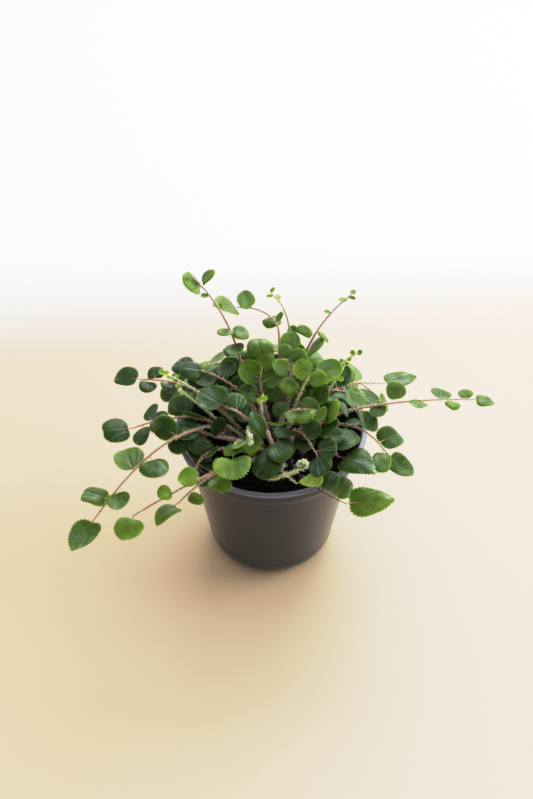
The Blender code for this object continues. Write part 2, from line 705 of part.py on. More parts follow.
def pot_tree():
    """A search tree of the rim, the upper wall and the soil, grown by a clearance."""
    grow = POT_CLEARANCE
    profile = [
        (0, soil_top(0) + SOIL_CLEARANCE),
        (WALL_TOP_RADIUS - WALL - grow, SOIL_HEIGHT + grow),
        (WALL_TOP_RADIUS - WALL - grow, POT_HEIGHT + grow),
        (RIM_RADIUS + grow, POT_HEIGHT + grow),
        (RIM_RADIUS + grow, POT_HEIGHT - RIM_DEPTH - grow),
        (WALL_TOP_RADIUS + grow, POT_HEIGHT - RIM_DEPTH - UNDER_RIM_CLEARANCE),
        (WALL_LOW_RADIUS + grow, WALL_LOW_HEIGHT),
    ]
    points = []
    faces = []
    rings = len(profile)
    for step in range(POT_STEPS):
        turn = math.tau * step / POT_STEPS
        way = Vector((math.cos(turn), math.sin(turn), 0))
        points += [way * radius + Vector((0, 0, height)) for radius, height in profile]
        for ring in range(rings - 1):
            here = step * rings + ring
            beside = (step + 1) % POT_STEPS * rings + ring
            faces += [(here, beside, beside + 1), (here, beside + 1, here + 1)]
    return BVHTree.FromPolygons(points, faces, all_triangles=True)


def placed_leaflets(plans):
    """Sets every leaflet, turned, lifted or shrunk until it is clear of the other fronds.

    A leaflet that finds no clear place is left off. Leaflets of one frond keep apart too
    where they can.
    """
    draw = np.random.default_rng(LEAF_SEED)
    pot = pot_tree()
    taken = []
    for plan in plans:
        middle = sum((Vector(point) for point in plan["path"]), Vector()) / len(plan["path"])
        reach = max((Vector(point) - middle).length for point in plan["path"])
        taken.append((plan["name"], middle, reach + STEM_MARGIN, stem_tree(plan), "stem"))
    for plan in plans:
        plan["leaflets"] = []
        for leaf in wished_leaflets(plan, draw):
            found = clear_leaflet(plan, leaf, taken, pot)
            if found:
                plan["leaflets"].append(found)
                centre = found["base"] + found["along"] * found["length"] / 2
                tree = blade_tree(found, 0)
                taken.append((plan["name"], centre, found["length"] * LEAF_MARGIN, tree, "leaf"))


def clear_leaflet(plan, leaf, taken, pot):
    """The first way to set a leaflet in which it touches nothing of another frond."""
    wished_length = leaf["length"]
    near = [
        entry for entry in taken
        if (entry[1] - leaf["base"]).length < entry[2] + wished_length * BASE_MARGIN
    ]
    others = [entry[3] for entry in near if entry[0] != plan["name"]]
    own = [entry[3] for entry in near if entry[0] == plan["name"] and entry[4] == "leaf"]
    spare = None
    for scale, lift, swing, roll in product(TRIED_SCALES, TRIED_LIFTS, TRIED_SWINGS, TRIED_ROLLS):
        along, across, out = leaflet_axes(leaf, lift, swing, roll)
        trial = dict(leaf, along=along, across=across, out=out, length=wished_length * scale)
        tree = blade_tree(trial, LEAF_CLEARANCE)
        lowest = min(point.z for point in leaflet_surface(trial))
        if lowest < TABLE_CLEARANCE or tree.overlap(pot):
            continue
        if any(tree.overlap(other) for other in others):
            continue
        if not any(tree.overlap(other) for other in own):
            return trial
        spare = spare or trial
    return spare


def add_blade(leaf, name, home):
    """One leaflet: a fan of triangles shaped by its surface, thickened on both sides."""
    mesh = bpy.data.meshes.new(name)
    form = bmesh.new()
    offset = leaf["out"] * LEAF_THICKNESS / 2
    surface = leaflet_surface(leaf)
    upper = [form.verts.new(point + offset) for point in surface]
    lower = [form.verts.new(point - offset) for point in surface]
    for index in range(LEAF_SIDES):
        here = 1 + index
        after = 1 + (index + 1) % LEAF_SIDES
        form.faces.new((upper[0], upper[here], upper[after]))
        form.faces.new((lower[0], lower[after], lower[here]))
        form.faces.new((upper[here], lower[here], lower[after], upper[after]))
    bmesh.ops.recalc_face_normals(form, faces=form.faces)
    form.to_mesh(mesh)
    form.free()
    return add_object(name, mesh, home)


def make_frond(plan, home, pieces, finish):
    """A frond: its stem with every leaflet joined to it as one body."""
    stem = make_stem(plan, home, finish)
    if plan["leaflets"]:
        for index, leaf in enumerate(plan["leaflets"]):
            add_blade(leaf, f"leaflet_{index}", pieces)
        boolean(stem, pieces, "UNION")
        remove_objects(pieces)
    return stem


def main():
    for old in list(bpy.data.objects):
        bpy.data.objects.remove(old)
    home = collection("potted_button_fern")
    pieces = collection("cutters")
    pot_finish = material("pot_plastic", *POT_FINISH)
    soil_finish = material("potting_soil", *SOIL_FINISH)
    leaf_finishes = {
        name: material(f"leaves_{name}", colour, roughness)
        for name, (colour, roughness) in COLOURS.items()
    }

    plans = frond_plans()
    give_roots(plans)
    paths = part_stems(np.array([stem_points(plan) for plan in plans]))
    for plan, path in zip(plans, paths):
        plan["path"] = path
    placed_leaflets(plans)

    make_pot(home, pieces, pot_finish)
    make_soil(home, pieces, soil_finish, [plan["root"] for plan in plans])
    for plan in plans:
        make_frond(plan, home, pieces, leaf_finishes[plan["colour"]])
    bpy.data.collections.remove(pieces)


main()
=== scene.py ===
import json
import math
from itertools import product

import bmesh
import bpy
import numpy as np
from mathutils import Matrix, Vector
from mathutils.bvhtree import BVHTree

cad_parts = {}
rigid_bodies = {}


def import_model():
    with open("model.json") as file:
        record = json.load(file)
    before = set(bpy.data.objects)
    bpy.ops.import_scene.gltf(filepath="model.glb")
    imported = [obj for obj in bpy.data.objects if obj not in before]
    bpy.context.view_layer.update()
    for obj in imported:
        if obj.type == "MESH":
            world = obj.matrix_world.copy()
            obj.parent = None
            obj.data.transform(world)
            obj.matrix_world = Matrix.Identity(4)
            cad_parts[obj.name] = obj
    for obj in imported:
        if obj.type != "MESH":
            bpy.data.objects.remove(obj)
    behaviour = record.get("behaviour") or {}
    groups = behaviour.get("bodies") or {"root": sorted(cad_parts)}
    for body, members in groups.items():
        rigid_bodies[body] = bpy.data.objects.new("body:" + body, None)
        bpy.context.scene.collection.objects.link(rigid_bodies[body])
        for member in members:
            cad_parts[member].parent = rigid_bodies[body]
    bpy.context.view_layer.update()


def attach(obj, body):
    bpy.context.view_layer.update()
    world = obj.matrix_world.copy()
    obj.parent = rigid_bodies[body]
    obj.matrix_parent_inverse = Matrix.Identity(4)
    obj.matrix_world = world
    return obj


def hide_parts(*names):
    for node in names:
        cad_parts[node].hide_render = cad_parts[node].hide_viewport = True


# Potted button fern. In metres, with +Z up and -Y to the front, and its origin in the middle of
# the pot's underside.
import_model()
mm = 0.001
fullTurn = math.tau


# Meshes from whole arrays

# Vectors divided by their lengths.
def unit(vectors):
    return vectors / np.linalg.norm(vectors, axis=-1, keepdims=True)


# From 0 at low to 1 at high: three times the share's square less twice its cube.
def smoothStep(value, low, high):
    share = np.clip((value - low) / (high - low), 0, 1)
    return share * share * (3 - 2 * share)


# A closed form from rings of points, copies x rings x sectors x 3, with a fan of triangles
# from a pole to the first ring and from the last ring to the other pole.
def closedForm(rings, startPole, endPole):
    copies, ringCount, sectors = rings.shape[:3]
    size = ringCount * sectors + 2
    points = np.concatenate([startPole[:, None], rings.reshape(copies, -1, 3), endPole[:, None]], 1)
    sector = np.arange(sectors)
    beside = (sector + 1) % sectors
    row = 1 + np.arange(ringCount - 1)[:, None] * sectors
    corners = [row + sector, row + beside, row + beside + sectors, row + sector + sectors]
    quads = np.stack(corners, -1).reshape(-1, 4)
    last = 1 + (ringCount - 1) * sectors
    faces = np.concatenate([
        np.stack([0 * sector, 1 + beside, 1 + sector], -1),
        quads[:, [0, 1, 2]],
        quads[:, [0, 2, 3]],
        np.stack([0 * sector + size - 1, last + sector, last + beside], -1),
    ])
    faces = faces[None] + np.arange(copies)[:, None, None] * size
    return points.reshape(-1, 3), faces.reshape(-1, 3)


# The same order of points as closedForm, for values carried by its rings and poles.
def closedValues(rings, startPole, endPole):
    copies = rings.shape[0]
    width = rings.shape[-1]
    return np.concatenate(
        [startPole[:, None], rings.reshape(copies, -1, width), endPole[:, None]], 1
    ).reshape(-1, width)


# One vector for each point, from three numbers or arrays.
def perPoint(points, *values):
    return np.stack([np.zeros(len(points)) + value for value in values], 1)


# Angles evenly round a circle.
def turnsRound(count):
    return np.arange(count) * fullTurn / count


# A circle of points in the level plane.
def levelRing(sides):
    turn = turnsRound(sides)
    return np.stack([np.cos(turn), np.sin(turn), 0 * turn], 1)


# A circle of vectors for each pair: the first by each angle's cosine plus the second by its sine.
def spokes(first, second, sides):
    turn = turnsRound(sides)
    return first[:, None] * np.cos(turn)[:, None] + second[:, None] * np.sin(turn)[:, None]


# A round tube along a path: at each point a ring in the plane square to the path, turned so
# that its first point lies in the direction path x normal.
def tubeRings(path, radii, sides, normal):
    way = unit(np.gradient(path, axis=0))
    side = unit(np.cross(way, normal))
    return path[:, None] + spokes(side, np.cross(way, side), sides) * radii[:, None, None]


# A curve through every point of a path: cubic pieces whose slope at a point is half the step
# between its neighbours (Catmull and Rom's rule).
def curveThrough(path, samples):
    place = np.linspace(0, len(path) - 1, samples)
    index = np.minimum(place.astype(int), len(path) - 2)
    run = (place - index)[:, None]
    ends = [2 * path[:1] - path[1:2], path, 2 * path[-1:] - path[-2:-1]]
    before, start, end, after = (np.concatenate(ends)[index + step] for step in range(4))
    return 0.5 * (
        2 * start + (end - before) * run
        + (2 * before - 5 * start + 4 * end - after) * run ** 2
        + (3 * start - before - 3 * end + after) * run ** 3
    )


def addObject(name, data):
    made = bpy.data.objects.new(name, data)
    bpy.context.scene.collection.objects.link(made)
    return made


# One mesh object from parts, each a tuple of points, faces, material number, and two vectors
# a point: where it is on its leaf or stem, and its tone with two more values.
def addPiece(name, parts, materials, slot, node):
    offsets = np.cumsum([0] + [len(part[0]) for part in parts[:-1]])
    points = np.concatenate([part[0] for part in parts])
    faces = np.concatenate([part[1] + offset for part, offset in zip(parts, offsets)])
    mesh = bpy.data.meshes.new(name)
    mesh.from_pydata(points.tolist(), [], faces.tolist())
    numbers = np.concatenate([np.full(len(part[1]), part[2]) for part in parts])
    mesh.polygons.foreach_set("material_index", numbers.astype(np.int32))
    for number, label in ((3, "place"), (4, "tone")):
        layer = mesh.attributes.new(label, "FLOAT_VECTOR", "POINT")
        layer.data.foreach_set("vector", np.concatenate([part[number] for part in parts]).ravel())
    mesh.shade_smooth()
    for material in materials:
        mesh.materials.append(material)
    piece = addObject(name, mesh)
    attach(piece, "root")
    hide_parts(node)
    return piece


# Node trees from expressions

class Wire:  # a node socket that can stand in a sum, a product or any other node's inputs
    def __init__(self, tree, socket):
        self.tree = tree
        self.socket = socket

    def node(self, kind, settings, sockets, output=0):
        made = self.tree.nodes.new(kind)
        for name, value in settings.items():
            setattr(made, name, value)
        for name, value in sockets.items():
            if isinstance(value, Wire):
                self.tree.links.new(value.socket, made.inputs[name])
            else:
                made.inputs[name].default_value = value
        return Wire(self.tree, made.outputs[output])

    def math(self, operation, *others):
        values = [self, *others]
        return self.node("ShaderNodeMath", {"operation": operation}, dict(enumerate(values)))

    def __add__(self, other):
        return self.math("ADD", other)

    __radd__ = __add__

    def __sub__(self, other):
        return self.math("SUBTRACT", other)

    def __rsub__(self, other):
        return self.node("ShaderNodeMath", {"operation": "SUBTRACT"}, {0: other, 1: self})

    def __mul__(self, other):
        return self.math("MULTIPLY", other)

    __rmul__ = __mul__

    def __abs__(self):
        return self.math("ABSOLUTE")

    def step(self, low, high):
        settings = {"interpolation_type": "SMOOTHSTEP"}
        return self.node("ShaderNodeMapRange", settings, {0: self, 1: low, 2: high})

    def blend(self, first, second):  # a colour between two, by this share
        return self.node("ShaderNodeMix", {"data_type": "RGBA"}, {0: self, 6: first, 7: second}, 2)

    def parts(self):
        outputs = self.node("ShaderNodeSeparateXYZ", {}, {0: self}).socket.node.outputs
        return [Wire(self.tree, output) for output in outputs]

    def noise(self, scale, detail, roughness=0.55):
        sockets = {"Vector": self, "Scale": scale, "Detail": detail, "Roughness": roughness}
        return self.node("ShaderNodeTexNoise", {}, sockets)

    def stretched(self, scale):
        return self.node("ShaderNodeMapping", {}, {"Vector": self, "Scale": scale})


# A material with these fixed shader values, and its shader and object coordinates.
def newMaterial(name, values):
    made = bpy.data.materials.new(name)
    made.use_nodes = True
    shader = made.node_tree.nodes["Principled BSDF"]
    for socket, value in values.items():
        shader.inputs[socket].default_value = value
    coordinates = made.node_tree.nodes.new("ShaderNodeTexCoord")
    return made, shader, Wire(made.node_tree, coordinates.outputs["Object"])


def attribute(wire, name):
    return wire.node("ShaderNodeAttribute", {"attribute_name": name}, {}, 1)


def connect(wire, shader, socket):
    wire.tree.links.new(wire.socket, shader.inputs[socket])


def bump(height, distance, strength, shader):
    sockets = {"Height": height, "Distance": distance, "Strength": strength}
    connect(height.node("ShaderNodeBump", {}, sockets), shader, "Normal")


def colour(red, green, blue):
    return (red, green, blue, 1)


# Pot

potSizes = {
    "height": 90 * mm,
    "rimRadius": 52.5 * mm,
    "rimDepth": 8 * mm,
    "rimTaper": 1.8 * mm,
    "rimWidth": 3.4 * mm,
    "rimRound": 1.2 * mm,
    "lipDepth": 2.6 * mm,  # the smooth band above the first moulded line
    "lineDepth": 0.18 * mm,
    "lineSpacing": 2.4 * mm,
    "lineSharpness": 12,
    "hollow": ((0.05, -1.2), (0.5, -0.55)),  # mm from the wall's top, under the collar
    "collarEdge": ((-0.9, -0.1), (-0.25, 0.12), (0, 0.6)),  # mm from the collar's low edge
    "wall": 1.3 * mm,
    "wallTopRadius": 47.6 * mm,
    "wallLowRadius": 36.8 * mm,
    "wallLowHeight": 14 * mm,
    "footRadius": 26 * mm,
    "floor": 1.8 * mm,
    "middle": 6 * mm,  # the radius of the underside's innermost ring
    "floorRings": (20 * mm, 8 * mm),
    "underSteps": 22,
    "cornerSteps": 10,
    "wallSteps": 12,
    "faceSteps": 24,
    "rimSteps": 8,
    "insideSteps": 6,
    "insideDepth": 2 * mm,  # how far under the collar the inside meets the wall
    "steps": 240,
    "notches": 8,
    "notchWidth": 14 * mm,
    "notchHeight": 2.6 * mm,
    "notchInner": 19.5 * mm,
    "notchEase": 0.8 * mm,
    "drainRadius": 2.6 * mm,
    "drainCircle": 23 * mm,
    "drainSides": 24,
    "sharpDegrees": 40,
}

plasticLook = {
    "shader": {
        "IOR": 1.49,
        "Roughness": 0.26,
        "Specular IOR Level": 0.5,
        "Specular Tint": colour(0.86, 0.93, 1.0),
        "Coat Weight": 0.25,
        "Coat Roughness": 0.16,
    },
    "dark": colour(0.048, 0.052, 0.059),
    "pale": colour(0.055, 0.060, 0.068),
    "lip": colour(0.258, 0.240, 0.285),  # painted highlight: pale lilac grey painted on top of the rim
    "cloudScale": 18,
    "clouds": (0.3, 0.7),
    "rimHighlight": (88.0 * mm, 89.4 * mm),
    "rimHighlightShares": (0.6, 0.3),  # everywhere, and more where scuffed
    "scuffScale": (60, 60, 400),
    "grainScale": 2600,
    "grain": (0.03 * mm, 0.3),
}


def plasticMaterial():
    look = plasticLook
    made, shader, place = newMaterial("potPlastic", look["shader"])
    scuffs = place.stretched(look["scuffScale"]).noise(1, 5, 0.7)
    clouds = place.noise(look["cloudScale"], 1)
    shade = clouds.step(*look["clouds"]).blend(look["dark"], look["pale"])
    least, more = look["rimHighlightShares"]
    # Painted highlight: the top of the rim blends to the pale lip colour, more where scuffed.
    rimHighlight = place.parts()[2].step(*look["rimHighlight"]) * (scuffs * more + least)
    connect(rimHighlight.blend(shade, look["lip"]), shader, "Base Color")
    bump(place.noise(look["grainScale"], 2), *look["grain"], shader)
    return made


# An arc in the plane of radius and height, from one angle to another, in degrees.
def arc(radius, height, size, first, last, steps):
    turn = np.radians(np.linspace(first, last, steps))
    return np.stack([radius + size * np.cos(turn), height + size * np.sin(turn)], 1)


# The rounded corner between the foot and the wall, a quarter of an oval.
def lowCorner(inset, steps):
    pot = potSizes
    turn = np.linspace(math.pi / 2, 0, steps)
    radius = pot["footRadius"] + (pot["wallLowRadius"] - pot["footRadius"]) * np.cos(turn)
    return np.stack([radius - inset, pot["wallLowHeight"] * (1 - np.sin(turn))], 1)


# The pot's section as pairs of radius and height, from the middle of its underside round its
# outer side and over the rim to the middle of its floor.
def potSection():
    pot = potSizes
    top = pot["height"]
    rimRound = pot["rimRound"]
    underRim = top - pot["rimDepth"]
    underRadii = np.linspace(pot["middle"], pot["footRadius"] - mm, pot["underSteps"])
    under = [(radius, 0) for radius in underRadii]
    wallTop = (pot["wallTopRadius"], underRim - rimRound)
    wallLow = (pot["wallLowRadius"], pot["wallLowHeight"])
    wall = np.linspace(wallLow, wallTop, pot["wallSteps"])[1:-1]
    # under the collar the wall turns out in a small hollow curve, and the collar's edge is round
    collarLow = pot["rimRadius"] - pot["rimTaper"]
    collar = [(start + out * mm, underRim + rise * mm)
              for start, offsets in ((wallTop[0], pot["hollow"]), (collarLow, pot["collarEdge"]))
              for out, rise in offsets]
    # the collar leans outward, with shallow lines around it
    lip = top - pot["lipDepth"]
    heights = np.linspace(underRim + rimRound, lip, pot["faceSteps"])
    lean = (heights - underRim) / pot["rimDepth"]
    lines = np.cos((lip - heights) / pot["lineSpacing"] * fullTurn) ** pot["lineSharpness"]
    radii = pot["rimRadius"] - pot["rimTaper"] * (1 - lean) - pot["lineDepth"] * lines
    face = np.stack([radii, heights], 1)
    steps = pot["rimSteps"]
    outerRound = arc(pot["rimRadius"] - rimRound, top - rimRound, rimRound, 0, 90, steps)
    innerRadius = pot["rimRadius"] - pot["rimWidth"]
    innerRound = arc(innerRadius + rimRound, top - rimRound, rimRound, 90, 180, steps)
    insideTop = (pot["wallTopRadius"] - pot["wall"], wallTop[1] - pot["insideDepth"])
    insideLow = (pot["wallLowRadius"] - pot["wall"], wallLow[1])
    inside = np.linspace((innerRadius, top - 2 * rimRound), insideTop, pot["insideSteps"])
    insideWall = np.linspace(inside[-1], insideLow, pot["wallSteps"])[1:]
    insideCorner = lowCorner(pot["wall"], pot["cornerSteps"])[::-1]
    insideCorner[:, 1] = np.maximum(insideCorner[:, 1], pot["floor"])
    floor = [(radius, pot["floor"]) for radius in pot["floorRings"]]
    return np.concatenate([
        under, lowCorner(0, pot["cornerSteps"]), wall, collar, face, outerRound, innerRound,
        inside, insideWall, insideCorner[1:], floor,
    ])


# The section turned round the axis. Where a channel crosses the foot, the height is at least
# the channel's, eased at its sides and its inner end.
def potForm():
    pot = potSizes
    section = potSection()
    radius, height = section[:, 0:1], section[:, 1:2]
    turn = turnsRound(pot["steps"])
    spacing = fullTurn / pot["notches"]
    aside = np.abs((turn + spacing / 2) % spacing - spacing / 2)
    ease = pot["notchEase"]
    channel = 1 - smoothStep(radius * np.sin(aside), pot["notchWidth"] / 2 - ease,
                             pot["notchWidth"] / 2)
    channel = channel * smoothStep(radius, pot["notchInner"] - ease / 2, pot["notchInner"] + ease)
    outside = (np.arange(len(section)) < pot["underSteps"] + pot["cornerSteps"])[:, None]
    raised = np.maximum(height, pot["notchHeight"] * channel * outside)
    rings = np.stack([radius * np.cos(turn), radius * np.sin(turn), raised + 0 * turn], -1)
    return closedForm(rings[None], np.zeros((1, 3)), np.array([[0, 0, pot["floor"]]]))


# Cuts the round drain holes, one in each channel, with one Boolean on a collection.
def cutDrains(piece):
    pot = potSizes
    cutters = bpy.data.collections.new("cutters")
    bpy.context.scene.collection.children.link(cutters)
    for index in range(pot["notches"]):
        turn = Matrix.Rotation(fullTurn * index / pot["notches"], 4, "Z")
        form = bmesh.new()
        bmesh.ops.create_cone(
            form, cap_ends=True, segments=pot["drainSides"], radius1=pot["drainRadius"],
            radius2=pot["drainRadius"], depth=pot["floor"] * 4,
            matrix=turn @ Matrix.Translation((pot["drainCircle"], 0, pot["floor"])),
        )
        mesh = bpy.data.meshes.new(f"drain_{index}")
        form.to_mesh(mesh)
        form.free()
        cutters.objects.link(bpy.data.objects.new(mesh.name, mesh))
    cut = piece.modifiers.new("drains", "BOOLEAN")
    cut.operand_type = "COLLECTION"
    cut.collection = cutters
    cut.solver = "EXACT"
    graph = bpy.context.evaluated_depsgraph_get()
    mesh = bpy.data.meshes.new_from_object(piece.evaluated_get(graph))
    piece.modifiers.clear()
    piece.data = mesh
    for cutter in list(cutters.objects):
        bpy.data.objects.remove(cutter)
    bpy.data.collections.remove(cutters)


def makePot():
    points, faces = potForm()
    parts = [(points, faces, 0, 0 * points, 0 * points)]
    piece = addPiece("pot_moulded", parts, [plasticMaterial()], "pot_plastic", "pot")
    cutDrains(piece)
    piece.data.set_sharp_from_angle(angle=math.radians(potSizes["sharpDegrees"]))
    print("pot made")


# Soil

soilSizes = {
    "height": 77 * mm,
    "dome": 2 * mm,
    "gap": 0.3 * mm,
    "rings": 34,
    "sectors": 150,
    "underRings": (6 * mm, 18 * mm),
    "cornerSteps": 8,
    "sideSteps": 6,
    "shoulder": 3 * mm,  # the side ends this far under the level
    "waves": 46,
    "waveLengths": (3 * mm, 16 * mm),
    "waveHeight": 0.16 * mm,
    "crumbs": 1500,
    "crumbMargin": 2.6 * mm,
    "crumbSizes": (0.35 * mm, 1.5 * mm),
    "crumbSides": 5,
    "crumbWidth": 0.85,
    "crumbLevels": (-0.45, 0.5),
    "crumbUneven": (0.7, 1.3),
    "crumbStretch": (0.6, 1.3),
    "seed": 11,
}

soilLook = {
    "shader": {"Roughness": 0.93, "Specular IOR Level": 0.25},
    "black": colour(0.0045, 0.0035, 0.0028),
    "brown": colour(0.022, 0.014, 0.009),
    "pale": colour(0.075, 0.052, 0.035),
    "fineScale": 900,
    "coarseScale": 160,
    "brownFrom": (0.35, 0.7),
    "flecks": (0.36, 0.46),
    "fleckShare": 0.35,
    "paleCrumbs": (0.9, 0.97),
    "crumbShare": 0.8,
    "relief": (0.5 * mm, 0.7),
}


def soilMaterial():
    look = soilLook
    made, shader, place = newMaterial("soilPeat", look["shader"])
    tone = attribute(place, "tone").parts()[0]
    fine = place.noise(look["fineScale"], 6, 0.65)
    coarse = place.noise(look["coarseScale"], 3)
    shade = fine.step(*look["brownFrom"]).blend(look["black"], look["brown"])
    flecks = (fine * coarse).step(*look["flecks"]) * look["fleckShare"]
    flecks = flecks + tone.step(*look["paleCrumbs"]) * look["crumbShare"]
    connect(flecks.blend(shade, look["pale"]), shader, "Base Color")
    bump(fine + coarse * 0.5, *look["relief"], shader)
    return made


# The dome's height over a radius: the level plus half the dome less the dome by the share squared.
def soilTop(radius):
    share = radius / potSizes["wallTopRadius"]
    return soilSizes["height"] + soilSizes["dome"] * (0.5 - share ** 2)


# Unevenness of the ground: a sum of many small sine waves with seeded ways, lengths and phases.
def soilWaves(x, y, draw):
    count = soilSizes["waves"]
    ways = draw.uniform(0, fullTurn, count)
    lengths = draw.uniform(*soilSizes["waveLengths"], count)
    phases = draw.uniform(0, fullTurn, count)
    along = x[..., None] * np.cos(ways) + y[..., None] * np.sin(ways)
    return (np.sin(along / lengths * fullTurn + phases)).sum(-1) * soilSizes["waveHeight"]


# The soil: its underside and side follow the pot's inside, and its top is the dome with waves.
def soilForm(draw):
    pot = potSizes
    soil = soilSizes
    rise = (soil["height"] - pot["wallLowHeight"]) / (
        pot["height"] - pot["rimDepth"] - pot["rimRound"] - pot["wallLowHeight"])
    wall = pot["wallLowRadius"] + rise * (pot["wallTopRadius"] - pot["wallLowRadius"])
    edge = wall - pot["wall"] - soil["gap"] * 2
    low = lowCorner(pot["wall"] + soil["gap"] * 2, soil["cornerSteps"])
    low[:, 1] = np.maximum(low[:, 1], pot["floor"] + soil["gap"])
    side = np.linspace(low[-1], (edge, soil["height"] - soil["shoulder"]), soil["sideSteps"])[1:]
    under = [(radius, low[0, 1]) for radius in soil["underRings"]]
    outer = np.concatenate([under, low, side])
    topRadii = np.linspace(edge, mm, soil["rings"])
    top = np.stack([topRadii, soilTop(topRadii)], 1)
    section = np.concatenate([outer, top])
    turn = turnsRound(soil["sectors"])
    x = section[:, 0:1] * np.cos(turn)
    y = section[:, 0:1] * np.sin(turn)
    onTop = (np.arange(len(section)) >= len(outer))[:, None]
    z = section[:, 1:2] + soilWaves(x, y, draw) * onTop
    rings = np.stack([x, y, z], -1)
    return closedForm(rings[None], np.array([[0, 0, low[0, 1]]]), rings[-1].mean(0)[None])


# Crumbs: small uneven balls of two rings of points each, pressed into the soil's top.
def crumbForms(draw):
    soil = soilSizes
    count = soil["crumbs"]
    reach = potSizes["wallTopRadius"] - potSizes["wall"] - soil["crumbMargin"]
    radius = reach * np.sqrt(draw.uniform(0, 1, count))
    turn = draw.uniform(0, fullTurn, count)
    small, large = soil["crumbSizes"]
    size = small + (large - small) * draw.uniform(0, 1, count) ** 3
    centre = np.stack([radius * np.cos(turn), radius * np.sin(turn), soilTop(radius)], 1)
    levels = np.array(soil["crumbLevels"])[None, :, None, None]
    rings = levelRing(soil["crumbSides"])[None, None] * soil["crumbWidth"] + (0, 0, 1) * levels
    rings = rings * draw.uniform(*soil["crumbUneven"], (count, 2, soil["crumbSides"], 1))
    stretch = draw.uniform(*soil["crumbStretch"], (count, 1, 3))
    rings = centre[:, None, None] + rings * stretch[:, None] * size[:, None, None, None]
    up = np.array([0, 0, 1]) * size[:, None] * stretch[:, 0]
    points, faces = closedForm(rings, centre - up, centre + up)
    tone = np.repeat(draw.uniform(0, 1, count), len(points) // count)
    return points, faces, perPoint(points, tone, 0, 0)


def makeSoil():
    draw = np.random.default_rng(soilSizes["seed"])
    points, faces = soilForm(draw)
    crumbs, crumbFaces, crumbTone = crumbForms(draw)
    parts = [(points, faces, 0, 0 * points, 0 * points),
             (crumbs, crumbFaces, 0, 0 * crumbs, crumbTone)]
    addPiece("soil_crumbled", parts, [soilMaterial()], "potting_soil", "soil")
    print("soil made")


# Fronds: where each grows, in the words of the part's own rule

stemRule = {
    "rootDepth": 11 * mm,
    "rootTurn": math.radians(137.508),
    "rootSpacing": 3.3 * mm,
    "rootReach": 0.48,
    "rootLimit": 20 * mm,
    "leastStep": 1e-12,
    "rootRadius": 0.9 * mm,
    "segments": 7,
    "clearance": 3.2 * mm,
    "rounds": 60,
    "push": 0.12,
    "tested": (1 / 6, 1 / 2, 5 / 6),  # the places on each straight run that push
    "leastGap": 1e-6,
    "heldShare": 0.25,
    "guardSides": 3,
    "guardShare": 1.4,  # how much wider than the stem the tube is that leaflets keep clear of
    "guardMargin": 4 * mm,
}

leafRule = {
    "sides": 8,
    "thickness": 0.7 * mm,
    "clearance": 0.45 * mm,
    "facing": np.array((0.08, -0.28, 0.95)),
    "setFacing": np.array((0, -0.12, 0.99)),
    "setCalm": 0.4,
    "flatness": 0.45,
    "stalkShare": 0.08,
    "tipRun": 0.985,
    "seed": 23,
    "tableClearance": 3 * mm,
    "potGuardSides": 36,
    "nearShares": (0.6, 1.1),  # lengths round a leaflet and round a new one where they may meet
    "evenGrowth": (0.85, 0.2, 1.1),  # at the ends, more midway, and at the tip
    "sideSwings": (55, 85),
    "tipSwings": (-12, 12),
    "lifts": (-8, 16),
    "rolls": (-26, 26),
    "lengths": (0.94, 1.06),
    "widths": (0.84, 1.04),
    "cups": (-0.07, 0.05),
    "folds": (-0.05, 0.28),
    "triedScales": (1, 0.86, 0.72, 0.6),
    "triedLifts": (0, 18, -18, 36, -36, 54),
    "triedSwings": (0, -22, 22),
    "triedRolls": (0, 28, -28),
}

curlRule = {"turns": 1.4, "points": 10, "tightening": 0.62}

backRule = {
    "count": 10,
    "from": math.radians(8),
    "to": math.radians(172),
    "reaches": (50, 76, 62),
    "tipHeights": (20, -7, 6),
    "middle": 0.5,
    "middleHeights": (30, 30, 23),
    "leaves": ((6, 15, 0.36), (6, 13, 0.42), (6, 14, 0.36)),
    "colours": ("mature", "green", "mature"),
}
